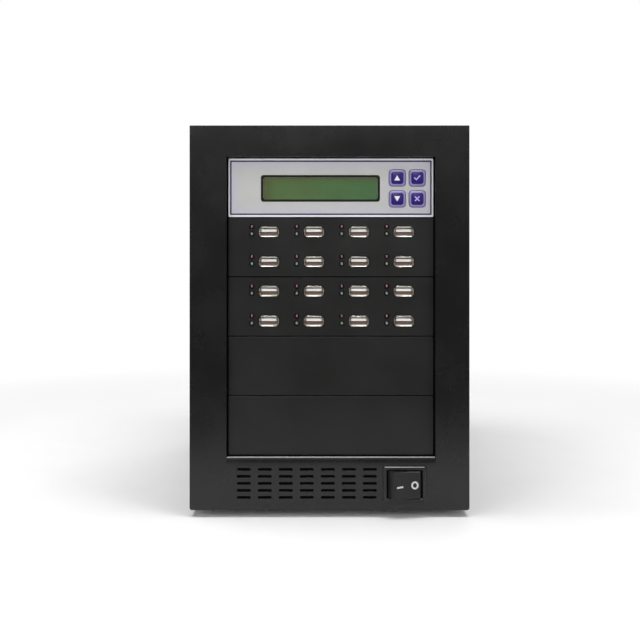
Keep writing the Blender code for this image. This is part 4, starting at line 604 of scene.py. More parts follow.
def plated(name, dark, light, roughness, stretch=(1.0, 1.0, 12.0), grain=2.0 * MM):
    """Plated metal with fine drawing marks."""
    material, tree, shader, place = new_material(name, metallic=1.0)
    streaks = noise(tree, place, grain, 3.0, stretch=stretch)
    tree.links.new(blend(tree, scaled(tree, streaks, 0.0, 1.0), rgba(dark), rgba(light)),
                   shader.inputs["Base Color"])
    tree.links.new(scaled(tree, streaks, roughness - 0.06, roughness + 0.06),
                   shader.inputs["Roughness"])
    raise_bump(tree, shader, streaks, 0.01 * MM)
    return material


def resin(name, rim, body, heart, pale_reach, roughness):
    """Coloured lamp resin: dark at its rim, pale at its centre."""
    material, tree, shader, place = new_material(name, roughness=roughness,
                                                 Specular_IOR_Level=0.22)
    flat = put(tree, "ShaderNodeVectorMath", {"operation": "MULTIPLY"}, in0=place,
               in1=(1.0, 0.0, 1.0)).outputs[0]
    reach = put(tree, "ShaderNodeVectorMath", {"operation": "LENGTH"}, in0=flat).outputs["Value"]
    swirl = noise(tree, place, 0.6 * MM)
    reach = calc(tree, "ADD", reach, scaled(tree, swirl, -0.1 * MM, 0.1 * MM))
    outer = blend(tree, scaled(tree, reach, 0.0, 1.0, 0.5 * MM, 1.3 * MM), rgba(body), rgba(rim))
    colour = blend(tree, scaled(tree, reach, 1.0, 0.0, 0.3 * pale_reach, pale_reach), outer, rgba(heart))
    tree.links.new(colour, shader.inputs["Base Color"])
    return material


def ink(name, colour, roughness=0.42, fade=0.02, **sockets):
    """Screen-printed ink with a slightly uneven film."""
    material, tree, shader, place = new_material(name, roughness=roughness, **sockets)
    film = noise(tree, place, 1.5 * MM, 3.0)
    thin = tuple(channel + fade * (1.0 - channel) for channel in colour)
    tree.links.new(blend(tree, scaled(tree, film, 0.0, 0.35), rgba(colour), rgba(thin)),
                   shader.inputs["Base Color"])
    tree.links.new(scaled(tree, film, roughness - 0.05, roughness + 0.05),
                   shader.inputs["Roughness"])
    return material


STEEL_PAINT = coated("black_powder_coat", (0.0075, 0.0075, 0.0074), (0.0105, 0.0105, 0.0102),
                     0.27, 0.9 * MM, 0.02 * MM, Specular_IOR_Level=0.40)
# Darker, matt copy of the black paint for the inner side walls of the bay opening: painted shade
# in the gaps beside the bay faces.
SHADED_WALL_PAINT = coated("black_painted_shade_walls", (0.0040, 0.0040, 0.0040), (0.0060, 0.0060, 0.0058),
                      0.70, 0.9 * MM, 0.02 * MM, Specular_IOR_Level=0.02)
# Matt black foam for the strips and the vent filter that stand in for the shade in the gaps and
# slots: painted shade.
SHADE_FOAM = coated("black_shade_foam", (0.0020, 0.0020, 0.0020), (0.0045, 0.0045, 0.0045),
              0.90, 0.5 * MM, 0.15 * MM, Specular_IOR_Level=0.02)
FACE_PLASTIC = coated("black_face_plastic", (0.0110, 0.0112, 0.0106), (0.0145, 0.0146, 0.0140),
                      0.36, 0.6 * MM, 0.02 * MM, Specular_IOR_Level=0.30)
SWITCH_PLASTIC = coated("switch_plastic", (0.0120, 0.0120, 0.0120), (0.0180, 0.0180, 0.0176),
                        0.32, 0.8 * MM, 0.012 * MM, Specular_IOR_Level=0.35)
ROCKER_PLASTIC = coated("rocker_plastic", (0.0105, 0.0105, 0.0103), (0.0145, 0.0145, 0.0142),
                        0.34, 0.8 * MM, 0.012 * MM, Specular_IOR_Level=0.28)
FAN_PLASTIC = coated("fan_plastic", (0.010, 0.010, 0.010), (0.018, 0.018, 0.018),
                     0.40, 1.0 * MM, 0.02 * MM)
PALE_PLASTIC = coated("pale_face_plastic", (0.85, 0.84, 0.90), (0.90, 0.89, 0.94),
                      0.45, 0.6 * MM, 0.012 * MM)
ZINC = zinc("zinc_sheet")
ZINC_DULL = zinc("zinc_sheet_dull", 0.9)
NICKEL = plated("nickel_shell", (0.56, 0.53, 0.48), (0.72, 0.69, 0.64), 0.24)
NICKEL_DULL = plated("nickel_inside", (0.50, 0.43, 0.36), (0.62, 0.55, 0.47), 0.46)
SCREW_NICKEL = plated("nickel_screw", (0.60, 0.60, 0.58), (0.74, 0.74, 0.72), 0.26,
                      (1.0, 1.0, 1.0), 1.0 * MM)
GOLD = plated("gold_contact", (0.72, 0.47, 0.15), (0.86, 0.62, 0.24), 0.22)
INSULATOR = coated("socket_insulator", (0.105, 0.075, 0.062), (0.145, 0.110, 0.095), 0.55,
                   0.7 * MM, 0.01 * MM, Specular_IOR_Level=0.2)
BRASS = plated("brass_blade", (0.66, 0.60, 0.48), (0.78, 0.72, 0.60), 0.25)
TONGUE_WHITE = coated("tongue_white", (0.86, 0.85, 0.82), (0.92, 0.91, 0.89), 0.38,
                      0.8 * MM, 0.01 * MM)
LAMP_RED = resin("lamp_red", (0.016, 0.002, 0.007), (0.055, 0.006, 0.020),
                 (0.40, 0.26, 0.28), 0.62 * MM, 0.30)
LAMP_GREEN = resin("lamp_green", (0.004, 0.008, 0.006), (0.040, 0.062, 0.045),
                   (0.24, 0.29, 0.25), 1.00 * MM, 0.42)
BLUE_INK = ink("blue_line_ink", (0.009, 0.006, 0.040))
BLACK_INK = ink("window_border_ink", (0.004, 0.004, 0.004), 0.40, 0.004,
                Specular_IOR_Level=0.2)
WHITE_INK = ink("white_legend_ink", (0.80, 0.80, 0.86))
LAVENDER_INK = ink("lavender_legend_ink", (0.47, 0.40, 0.84))
MARK_WHITE = ink("switch_mark_white", (0.62, 0.62, 0.60))
KEY_INDIGO = coated("key_indigo", (0.027, 0.012, 0.130), (0.038, 0.019, 0.170), 0.36,
                    0.5 * MM, 0.012 * MM, cloud=6.0 * MM, Specular_IOR_Level=0.10)
KEY_LAVENDER = coated("key_lavender", (0.25, 0.22, 0.47), (0.30, 0.26, 0.53), 0.36,
                      0.5 * MM, 0.010 * MM, cloud=6.0 * MM, Specular_IOR_Level=0.16)
# Darker copy of the key's lavender for its outer edge: painted shade round the foot of the key.
KEY_EDGE_SHADE = coated("key_edge_shade", (0.085, 0.068, 0.200), (0.110, 0.090, 0.245), 0.40,
                  0.5 * MM, 0.010 * MM, cloud=6.0 * MM, Specular_IOR_Level=0.16)
RUBBER = coated("foot_rubber", (0.009, 0.009, 0.009), (0.016, 0.016, 0.016), 0.78,
                0.7 * MM, 0.06 * MM)
CHIP_BLACK = coated("chip_black", (0.012, 0.012, 0.012), (0.020, 0.020, 0.020), 0.42,
                    0.4 * MM, 0.01 * MM)
LABEL_STEEL = coated("motor_label", (0.55, 0.56, 0.57), (0.62, 0.63, 0.64), 0.35,
                     0.6 * MM, 0.005 * MM)


def make_film_material():
    """Matt overlay film: neutral grey with a lavender cast along its border."""
    material, tree, shader, place = new_material("overlay_film", roughness=0.42)
    low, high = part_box("display_faceplate")
    x, _, z = axes(tree, place)
    from_side = calc(tree, "MINIMUM", calc(tree, "SUBTRACT", x, low.x),
                     calc(tree, "SUBTRACT", high.x, x))
    from_end = calc(tree, "MINIMUM", calc(tree, "SUBTRACT", z, low.z),
                    calc(tree, "SUBTRACT", high.z, z))
    margin = calc(tree, "MINIMUM", from_side, from_end)
    cast = scaled(tree, margin, 1.0, 0.0, 2.0 * MM, 9.0 * MM)
    cloud = noise(tree, place, 16.0 * MM, 4.0)
    field = blend(tree, scaled(tree, cloud, 0.0, 1.0), rgba((0.490, 0.492, 0.482)),
                  rgba((0.525, 0.525, 0.520)))
    tree.links.new(blend(tree, cast, field, rgba((0.520, 0.500, 0.590))),
                   shader.inputs["Base Color"])
    raise_bump(tree, shader, noise(tree, place, 0.5 * MM, 2.0), 0.008 * MM)
    return material


def make_lcd_material():
    """Green text display that glows, in place of the light the clear window keeps off it: painted
    light. Yellower at the left, with painted shade along its top and left edges.
    """
    material, tree, shader, place = new_material("display_green", roughness=0.30,
                                                 Specular_IOR_Level=0.1)
    low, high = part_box("display_glass")
    x, y, z = axes(tree, place)
    across = scaled(tree, x, 0.0, 1.0, low.x, high.x)
    left, right = rgba((0.150, 0.212, 0.080)), rgba((0.108, 0.205, 0.098))
    base = blend(tree, across, left, right)
    patch = noise(tree, place, 22.0 * MM, 2.0)
    base = blend(tree, scaled(tree, patch, 0.0, 0.4), base, rgba((0.090, 0.235, 0.080)))
    centre = face_place("display_faceplate")
    half_w, half_h = LENS_WIDTH / 2.0 - 1.2 * MM, LENS_HEIGHT / 2.0 - 1.2 * MM
    from_left = calc(tree, "SUBTRACT", x, centre.x + LENS_X - half_w)
    from_top = calc(tree, "SUBTRACT", centre.z + LENS_Z + half_h, z)
    # Painted shade: darker and browner towards the window's top and left edges.
    shade = calc(tree, "MAXIMUM", scaled(tree, from_left, 0.80, 0.0, 0.0, 9.0 * MM),
                 scaled(tree, from_top, 0.90, 0.0, 0.0, 3.6 * MM))
    base = blend(tree, shade, base, rgba((0.140, 0.124, 0.068)))
    # The faint grid of character cells, two rows of twenty
    cell_w, cell_h = 3.9 * MM, 6.4 * MM
    column = calc(tree, "PINGPONG", calc(tree, "SUBTRACT", x, centre.x + LENS_X), cell_w / 2.0)
    row = calc(tree, "PINGPONG", calc(tree, "SUBTRACT", z, centre.z + LENS_Z), cell_h / 2.0)
    in_cell = calc(tree, "MULTIPLY", scaled(tree, column, 0.0, 1.0, 0.25 * MM, 0.45 * MM),
                   scaled(tree, row, 0.0, 1.0, 0.4 * MM, 0.7 * MM))
    base = blend(tree, calc(tree, "MULTIPLY", in_cell, 0.04), base, rgba((0.03, 0.06, 0.03)))
    # The display glows in its own colours in place of the light the clear window keeps off it:
    # painted light.
    tree.links.new(base, shader.inputs["Emission Color"])
    shader.inputs["Emission Strength"].default_value = 0.66
    tree.links.new(blend(tree, 0.85, base, rgba((0.0, 0.0, 0.0))), shader.inputs["Base Color"])
    return material


def make_lens_material():
    """Clear window: lets the display through and keeps a soft gloss."""
    material, tree, shader, place = new_material("clear_window", roughness=0.06, IOR=1.49,
                                                 Transmission_Weight=1.0)
    haze = noise(tree, place, 12.0 * MM)
    tree.links.new(blend(tree, scaled(tree, haze, 0.0, 1.0), rgba((0.95, 0.97, 0.95)),
                         rgba((0.99, 1.0, 0.99))), shader.inputs["Base Color"])
    tree.links.new(scaled(tree, haze, 0.03, 0.08), shader.inputs["Roughness"])
    return material


def make_board_material(name, axis, front, back, sink=None):
    """Circuit board: green mask with tracks, black parts behind it, and a bare heat sink."""
    material, tree, shader, place = new_material(name, roughness=0.4)
    sockets = axes(tree, place)
    depth = sockets[axis]
    flat = put(tree, "ShaderNodeMapping", Vector=place,
               Scale=(1.0, 0.0, 1.0) if axis == 1 else (1.0, 1.0, 0.0)).outputs["Vector"]
    tracks = put(tree, "ShaderNodeTexBrick", {"offset": 0.37, "squash": 1.6}, Vector=flat,
                 Scale=1.0 / (9.0 * MM), Mortar_Size=0.035, Mortar_Smooth=0.2)
    tracks.inputs["Row Height"].default_value = 0.31
    cloud = noise(tree, place, 14.0 * MM)
    mask = blend(tree, cloud, rgba((0.006, 0.070, 0.024)), rgba((0.012, 0.105, 0.038)))
    green = blend(tree, tracks.outputs["Fac"], mask, rgba((0.030, 0.170, 0.070)))
    pads = put(tree, "ShaderNodeTexVoronoi", Vector=flat, Scale=1.0 / (5.0 * MM))
    pad = scaled(tree, pads.outputs["Distance"], 1.0, 0.0, 0.10, 0.14)
    green = blend(tree, pad, green, rgba((0.62, 0.60, 0.52)))
    behind = calc(tree, "GREATER_THAN", depth, back + 0.02 * MM)
    before = calc(tree, "LESS_THAN", depth, front - 0.02 * MM)
    part = rgba((0.013, 0.013, 0.013)) if axis == 2 else rgba((0.016, 0.016, 0.016))
    colour = blend(tree, behind, green, part)
    colour = blend(tree, before, colour, rgba((0.70, 0.71, 0.68)))
    if sink:
        (x0, x1), (y0, y1) = sink
        inside = behind
        for socket, limit, operation in ((sockets[0], x0, "GREATER_THAN"),
                                         (sockets[0], x1, "LESS_THAN"),
                                         (sockets[1], y0, "GREATER_THAN"),
                                         (sockets[1], y1, "LESS_THAN")):
            inside = calc(tree, "MULTIPLY", inside, calc(tree, operation, socket, limit))
        colour = blend(tree, inside, colour, rgba((0.55, 0.56, 0.57)))
        tree.links.new(inside, shader.inputs["Metallic"])
    tree.links.new(colour, shader.inputs["Base Color"])
    raise_bump(tree, shader, tracks.outputs["Fac"], 0.03 * MM)
    return material


def make_ribbon_material():
    """Flat cable: a ridge for each wire, and the first wire red."""
    material, tree, shader, place = new_material("ribbon_wires", roughness=0.5)
    low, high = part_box("ribbon_cable")
    x = axes(tree, place)[0]
    wire = calc(tree, "PINGPONG", calc(tree, "SUBTRACT", x, low.x), 0.635 * MM)
    ridge = scaled(tree, wire, 0.0, 1.0, 0.0, 0.635 * MM)
    tint = noise(tree, place, 20.0 * MM)
    grey = blend(tree, ridge, rgba((0.22, 0.23, 0.24)), rgba((0.40, 0.41, 0.42)))
    grey = blend(tree, scaled(tree, tint, 0.0, 0.25), grey, rgba((0.46, 0.46, 0.45)))
    first = calc(tree, "LESS_THAN", x, low.x + 1.27 * MM)
    tree.links.new(blend(tree, first, grey, rgba((0.42, 0.03, 0.03))),
                   shader.inputs["Base Color"])
    raise_bump(tree, shader, ridge, 0.3 * MM, 0.8)
    return material


# Case
LIP_RADIUS = 5.2 * MM
SIDE_LIP_RADIUS = 0.15 * MM
EDGE_RADIUS = 0.35 * MM
CORNER_RADIUS = 1.9 * MM
PANEL_TOP_RADIUS = 0.8 * MM
PANEL_FOOT_RADIUS = 1.7 * MM
FACE_TRIM = 0.2 * MM
# Sizes of the dark foam pieces put behind the gaps and vents as painted shade
SHADE_STRIP_WIDTH = 1.1 * MM
SHADE_FOAM_THICKNESS = 0.8 * MM
SHADE_FOAM_MARGIN = 1.6 * MM


def near(value, target):
    return abs(value - target) < 0.01 * MM


def make_front_panel():
    """Folded sheet with round folds, a lip round the bays, vents and a switch hole."""
    bm = bmesh.new()
    prism(bm, round_ended(2.0 * HALF_WIDTH, TOP_Z - BASE_Z, PANEL_TOP_RADIUS, PANEL_FOOT_RADIUS,
                          (0.0, (BASE_Z + TOP_Z) / 2.0)), "Y", 0.0, PANEL_RETURN)
    obj = piece("front_panel_sheet", to_mesh("front_panel_sheet", bm),
                [STEEL_PAINT, SHADED_WALL_PAINT],
                node="front_panel")
    inner_x = HALF_WIDTH - FRONT_SHEET
    inner_top = TOP_Z - FRONT_SHEET
    behind = bmesh.new()
    box(behind, (-inner_x, inner_x), (BAY_LIP, PANEL_RETURN + OVERRUN),
        (BASE_Z - OVERRUN, inner_top))
    cut(obj, behind)

    low, high = bay_limits()
    centre = ((low[0] + high[0]) / 2.0, (low[1] + high[1]) / 2.0)
    width, height = high[0] - low[0], high[1] - low[1]
    inner_height = inner_top - BASE_Z + OVERRUN
    ring = bmesh.new()
    sleeve(ring, rectangle(2.0 * inner_x, inner_height, (0.0, inner_top - inner_height / 2.0)),
           rectangle(width + 2.0 * FRONT_SHEET, height + 2.0 * FRONT_SHEET, centre),
           "Y", FRONT_SHEET, BAY_LIP + OVERRUN)
    cut(obj, ring)
    opening = bmesh.new()
    prism(opening, rectangle(width, height, centre), "Y", -OVERRUN, PANEL_RETURN + OVERRUN)
    cut(obj, opening)
    holes = bmesh.new()
    ends = (-OVERRUN, FRONT_SHEET + OVERRUN)
    for column in range(VENT_COLUMNS):
        for row in range(VENT_ROWS):
            at = (VENT_CENTRE_X + (column - (VENT_COLUMNS - 1) / 2.0) * VENT_PITCH_X,
                  BASE_Z + VENT_CENTRE_HEIGHT + (row - (VENT_ROWS - 1) / 2.0) * VENT_PITCH_Z)
            prism(holes, slot(VENT_LENGTH, VENT_WIDTH, at), "Y", *ends)
    prism(holes, rectangle(SWITCH_BODY_WIDTH + 2.0 * GAP, SWITCH_BODY_HEIGHT + 2.0 * GAP,
                           (SWITCH_X, BASE_Z + SWITCH_HEIGHT)), "Y", *ends)
    cut(obj, holes)
    # The opening's inner side walls get the darker copy of the paint: painted shade.
    for face in obj.data.polygons:
        if any(near(face.center.x, wall) and abs(face.normal.x) > 0.9
               for wall in (low[0], high[0])):
            face.material_index = 1

    def fold_share(start, end):
        points = (start, end)
        at_rim = all(abs(p.x) > HALF_WIDTH - PANEL_FOOT_RADIUS or near(p.z, TOP_Z)
                     for p in points)
        if all(near(p.y, FRONT_SHEET) and near(p.z, low[1] - FRONT_SHEET) for p in points):
            return 1.0 - FRONT_SHEET / LIP_RADIUS
        if not all(near(p.y, 0.0) for p in points):
            return 0.0
        if at_rim:
            return EDGE_RADIUS / LIP_RADIUS
        if not all(low[0] - MM < p.x < high[0] + MM and low[1] - MM < p.z < high[1] + MM
                   for p in points):
            return 0.0
        return 1.0 if all(near(p.z, low[1]) for p in points) else SIDE_LIP_RADIUS / LIP_RADIUS
    fold(obj, fold_share, LIP_RADIUS)
    obj.data.transform(Matrix.Translation((0.0, FRONT_Y, 0.0)))
    soften(obj, 0.12 * MM, sheet=True)


def bay_limits():
    """Corners (x, z) of the opening round the five bay modules."""
    lowest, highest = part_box("blank_cover_lower"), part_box("display_faceplate")
    x = (lowest[0].x + lowest[1].x) / 2.0
    half = BAY_OPENING_WIDTH / 2.0
    return ((x - half, lowest[0].z - BAY_SPACING), (x + half, highest[1].z + BAY_SPACING))


def make_shade_foam():
    """Black foam strips behind the gaps round the bay faces, and a foam dust filter behind the
    vents: dark pieces put in as painted shade, so that the gaps and slots look black.
    """
    low, high = bay_limits()
    middle_x, middle_z = (low[0] + high[0]) / 2.0, (low[1] + high[1]) / 2.0
    inset = 0.05 * MM + SHADE_STRIP_WIDTH / 2.0
    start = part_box("blank_cover_lower")[0].y + MODULE_FACE + 0.1 * MM
    strips = [(low[0] + inset, middle_z, SHADE_STRIP_WIDTH, high[1] - low[1]),
              (high[0] - inset, middle_z, SHADE_STRIP_WIDTH, high[1] - low[1])]
    faces = ("blank_cover_lower", "blank_cover_upper", "usb_faceplate_lower",
             "usb_faceplate_upper", "display_faceplate")
    for below, above in zip(faces, faces[1:]):
        gap_z = (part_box(below)[1].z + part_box(above)[0].z) / 2.0
        strips.append((middle_x, gap_z, high[0] - low[0] - 4.0 * inset, 1.3 * SHADE_STRIP_WIDTH))
    for number, (x, z, width, height) in enumerate(strips, 1):
        bm = bmesh.new()
        prism(bm, rounded(width, height, 0.3 * MM, (x, z), 3), "Y", start,
              start + SHADE_FOAM_THICKNESS)
        soften(piece(f"foam_strip_{number}", to_mesh("foam_strip", bm), [SHADE_FOAM]), 0.1 * MM)
    bm = bmesh.new()
    width = (VENT_COLUMNS - 1) * VENT_PITCH_X + VENT_LENGTH + 2.0 * SHADE_FOAM_MARGIN
    height = (VENT_ROWS - 1) * VENT_PITCH_Z + VENT_WIDTH + 2.0 * SHADE_FOAM_MARGIN
    prism(bm, rounded(width, height, MM, (VENT_CENTRE_X, BASE_Z + VENT_CENTRE_HEIGHT), 4), "Y",
          FRONT_Y + FRONT_SHEET + GAP, FRONT_Y + FRONT_SHEET + GAP + SHADE_FOAM_THICKNESS)
    soften(piece("vent_shade_filter", to_mesh("vent_shade_filter", bm), [SHADE_FOAM]), 0.15 * MM)


def make_cover():
    """U-shaped sheet with round folds, a rear flange and louvres in its sides."""
    low, high = cover_low, cover_high
    end = high.y
    bm = bmesh.new()
    box(bm, (low.x, high.x), (low.y, end), (low.z, high.z))
    obj = piece("cover_shell", to_mesh("cover_shell", bm), [STEEL_PAINT], "cover",
                node="top_cover")
    hollow = bmesh.new()
    box(hollow, (-COVER_INNER_X, COVER_INNER_X), (low.y - OVERRUN, end - SHEET),
        (low.z - OVERRUN, high.z - SHEET))
    cut(obj, hollow)
    window = bmesh.new()
    window_x = COVER_INNER_X - COVER_REAR_FLANGE
    box(window, (-window_x, window_x), (end - SHEET - OVERRUN, end + OVERRUN),
        (low.z - OVERRUN, high.z - SHEET - COVER_REAR_FLANGE))
    cut(obj, window)
    openings = bmesh.new()
    for x, z in cover_screw_places():
        prism(openings, circle(COVER_SCREW_RADIUS + GAP, 24, (x, z)), "Y",
              end - SHEET - OVERRUN, end + OVERRUN)
    for sign in (-1.0, 1.0):
        limits = sorted((sign * (COVER_INNER_X - OVERRUN), sign * (HALF_WIDTH + OVERRUN)))
        for louvre in range(LOUVRE_COUNT):
            height = BASE_Z + LOUVRE_HEIGHT + (louvre - (LOUVRE_COUNT - 1) / 2.0) * LOUVRE_PITCH
            outline = slot(LOUVRE_LENGTH, LOUVRE_WIDTH, (FRONT_Y + LOUVRE_SETBACK, height))
            prism(openings, outline, "X", *limits)
    cut(obj, openings)

    def fold_share(start, finish):
        points = (start, finish)
        on_side = all(near(abs(p.x), HALF_WIDTH) for p in points)
        on_top = all(near(p.z, high.z) for p in points)
        on_rear = all(near(p.y, end) for p in points)
        return (on_side and on_top) or (on_rear and (on_side or on_top))
    fold(obj, fold_share, CORNER_RADIUS)
    soften(obj, 0.2 * MM, sheet=True)


def cover_screw_places():
    return [(middle(f"cover_screw_{n}").x, middle(f"cover_screw_{n}").z) for n in range(1, 5)]


def make_cover_screws():
    """Turned thumb screws with a knurled head and a cross recess."""
    radius = COVER_SCREW_HEAD_RADIUS
    head = COVER_SCREW_HEAD
    turned = [(COVER_SCREW_RADIUS, -COVER_SCREW_REACH), (COVER_SCREW_RADIUS, 0.0),
              (radius, 0.0), (radius, 0.8 * MM), (radius * 0.80, 1.6 * MM),
              (radius * 0.80, 2.4 * MM), (radius * 0.94, 3.0 * MM)]
    sides = 72
    bm = bmesh.new()
    loops = [lay(circle(r, sides), "Y", y) for r, y in turned]
    knurl = []
    for side in range(sides):
        angle = 2.0 * math.pi * side / sides
        reach = radius * (0.98 if side % 3 == 0 else 0.93)
        knurl.append((reach * math.cos(angle), reach * math.sin(angle)))
    loops += [lay(knurl, "Y", 3.2 * MM), lay(knurl, "Y", head - 0.9 * MM)]
    loops += [lay(circle(radius * 0.88, sides), "Y", head - 0.4 * MM),
              lay(circle(radius * 0.72, sides), "Y", head)]
    loft(bm, loops)
    mesh = to_mesh("cover_knob", bm, 50.0 * DEGREE)
    mesh.materials.append(SCREW_NICKEL)
    base = new_object("cover_knob_base", mesh)
    for turn in (0.0, math.pi / 2.0):
        arm = bmesh.new()
        loft(arm, [lay(rectangle(5.0 * MM, 1.1 * MM), "Y", head + OVERRUN),
                   lay(rectangle(5.0 * MM, 1.1 * MM), "Y", head),
                   lay(rectangle(1.4 * MM, 0.6 * MM), "Y", head - 2.2 * MM)])
        bmesh.ops.rotate(arm, verts=arm.verts, matrix=Matrix.Rotation(turn, 3, "Y"))
        cut(base, arm)
    mesh = base.data
    bpy.data.objects.remove(base, do_unlink=True)
    for number in range(1, 5):
        node = f"cover_screw_{number}"
        centre = middle(node)
        low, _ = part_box(node)
        piece(f"cover_knob_{number}", mesh, [], "cover",
              (centre.x, low.y + COVER_SCREW_REACH, centre.z), node)


def make_feet():
    """Round rubber feet with a soft edge and a sunk screw."""
    low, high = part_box("foot_front_left")
    top = high.z
    profile = [(0.0075, top), (0.0080, top - 0.4 * MM), (0.0079, 2.4 * MM), (0.0074, 0.9 * MM),
               (0.0070, 0.25 * MM), (0.0064, 0.0), (0.0034, 0.0), (0.0032, 0.5 * MM),
               (0.0031, 2.2 * MM)]
    bm = bmesh.new()
    loft(bm, [lay(circle(r, 40), "Z", z) for r, z in profile], finishes=[0] * 7 + [1] * 2)
    mesh = to_mesh("rubber_foot", bm, 50.0 * DEGREE)
    mesh.materials.append(RUBBER)
    mesh.materials.append(SCREW_NICKEL)
    for name in ("front_left", "front_right", "rear_left", "rear_right"):
        centre = middle(f"foot_{name}")
        piece(f"rubber_foot_{name}", mesh, [], at=(centre.x, centre.y, 0.0),
              node=f"foot_{name}")


# Bay modules
def module_body(name, node, finish, arm_depth, bosses, holes):
    """A rimmed bay face with side arms; holes are (outline, start, end) cuts."""
    low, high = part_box(node)
    width, height = high.x - low.x, high.z - low.z
    bm = bmesh.new()
    prism(bm, rounded(width - 2.0 * FACE_TRIM, height, 0.5 * MM, steps=3), "Y", 0.0, MODULE_FACE)
    obj = piece(name, to_mesh(name, bm), [finish], node=node)

    rim_x = width - 2.0 * RIM_INSET
    rim_z = height - 2.0 * RIM_INSET
    additions = bmesh.new()
    sleeve(additions, rectangle(rim_x, rim_z),
           rectangle(rim_x - 2.0 * MODULE_WALL, rim_z - 2.0 * MODULE_WALL), "Y",
           MODULE_FACE - SINK, MODULE_RIM)
    join(obj, additions)
    additions = bmesh.new()
    arm_x = width / 2.0 - ARM_INSET
    for sign in (-1.0, 1.0):
        limits = sorted((sign * arm_x, sign * (arm_x - ARM_THICKNESS)))
        box(additions, limits, (MODULE_RIM - SINK, arm_depth), around(0.0, ARM_HEIGHT))
    for x, z, radius, end in bosses:
        prism(additions, circle(radius, 24, (x, z)), "Y", MODULE_FACE - SINK, end)
    join(obj, additions)

    cuts = bmesh.new()
    for sign in (-1.0, 1.0):
        limits = sorted((sign * (arm_x - ARM_THICKNESS - OVERRUN), sign * (arm_x + OVERRUN)))
        prism(cuts, circle(ARM_HOLE_RADIUS, 24, (ARM_HOLE_SETBACK, 0.0)), "X", *limits)
    for outline, start, end in holes:
        prism(cuts, outline, "Y", start, end)
    cut(obj, cuts)
    obj.data.transform(Matrix.Translation(face_place(node)))
    return obj


def make_blank_panels():
    """Two covers for empty bays, with a soft front edge, ribbed on the inside."""
    for level in ("upper", "lower"):
        node = f"blank_cover_{level}"
        obj = module_body(f"blank_panel_{level}", node, FACE_PLASTIC,
                          BLANK_ARM_DEPTH, [], [])
        low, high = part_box(node)
        place = face_place(node)
        width = high.x - low.x
        half = (high.z - low.z) / 2.0 - RIM_INSET - MODULE_WALL + SINK
        ribs = bmesh.new()
        for rib in range(BLANK_RIB_COUNT):
            x = width * (rib + 1.0) / (BLANK_RIB_COUNT + 1.0) - width / 2.0
            box(ribs, around(x, BLANK_RIB), (MODULE_FACE - SINK, MODULE_FACE + BLANK_RIB_DEPTH),
                (-half, half))
        join(obj, shifted(ribs, place))
        soften(obj, 0.15 * MM)


def port_places():
    """Centres of a module's sockets, row by row from the top, left to right."""
    places = []
    for row in range(PORT_ROWS):
        z = PORT_FIELD_Z + ((PORT_ROWS - 1) / 2.0 - row) * PORT_ROW_PITCH
        for column in range(PORT_COLUMNS):
            x = PORT_FIELD_X + (column - (PORT_COLUMNS - 1) / 2.0) * PORT_COLUMN_PITCH
            places.append((x, z))
    return places


MOUTH_WIDTH = 14.4 * MM
MOUTH_HEIGHT = 7.4 * MM
INSULATOR_RECESS = 2.6 * MM


def socket_mesh():
    """USB-A socket: flared steel mouth, seamed shell, white tongue, gold contacts."""
    well_w = PORT_SHELL_WIDTH - 2.0 * PORT_WALL
    well_h = PORT_SHELL_HEIGHT - 2.0 * PORT_WALL
    shell = cut_corners(PORT_SHELL_WIDTH, PORT_SHELL_HEIGHT, 0.5 * MM, 0.5 * MM)

    def brim(inset):
        return cut_corners(MOUTH_WIDTH - 2.0 * inset, MOUTH_HEIGHT - 2.0 * inset,
                           2.1 * MM - 0.6 * inset, 1.7 * MM - 0.6 * inset)
    well = cut_corners(well_w, well_h, 0.35 * MM, 0.35 * MM)
    sections = [(shell, PORT_DEPTH), (shell, PORT_MOUTH_DEPTH + 0.3 * MM),
                (brim(0.0), 0.35 * MM), (brim(0.0), 0.10 * MM), (brim(0.07 * MM), 0.03 * MM),
                (brim(0.30 * MM), 0.0), (brim(0.38 * MM), 0.07 * MM),
                (brim(0.40 * MM), 0.20 * MM), (well, 1.15 * MM), (well, PORT_WELL_DEPTH)]
    bm = bmesh.new()
    loft(bm, [lay(outline, "Y", y) for outline, y in sections],
         finishes=[0, 0, 0, 0, 0, 0, 0, 0, 3, 1])
    tongue_z = (well_h - TONGUE_HEIGHT) / 2.0 - TONGUE_TOP_GAP
    edge = 0.25 * MM
    slim = rounded(TONGUE_WIDTH - 2.0 * edge, TONGUE_HEIGHT - 2.0 * edge, 0.1 * MM,
                   (0.0, tongue_z), 3)
    full = rounded(TONGUE_WIDTH, TONGUE_HEIGHT, 0.3 * MM, (0.0, tongue_z), 3)
    loft(bm, [lay(slim, "Y", TONGUE_RECESS), lay(full, "Y", TONGUE_RECESS + edge),
              lay(full, "Y", PORT_WELL_DEPTH + SINK)], finish=1)
    under = tongue_z - TONGUE_HEIGHT / 2.0
    box(bm, around(0.0, well_w - 0.2 * MM), (INSULATOR_RECESS, PORT_WELL_DEPTH + SINK),
        (0.1 * MM - well_h / 2.0, under - 0.1 * MM), finish=4)
    contact_w, contact_h = 1.0 * MM, 0.22 * MM
    for x in (-3.5, -1.0, 1.0, 3.5):
        box(bm, around(x * MM, contact_w), (TONGUE_RECESS + 1.0 * MM, INSULATOR_RECESS + MM),
            (under - contact_h, under + contact_h), finish=2)
    mesh = to_mesh("usb_socket", bm, 30.0 * DEGREE)
    for finish in (NICKEL, TONGUE_WHITE, GOLD, NICKEL_DULL, INSULATOR):
        mesh.materials.append(finish)
    return mesh


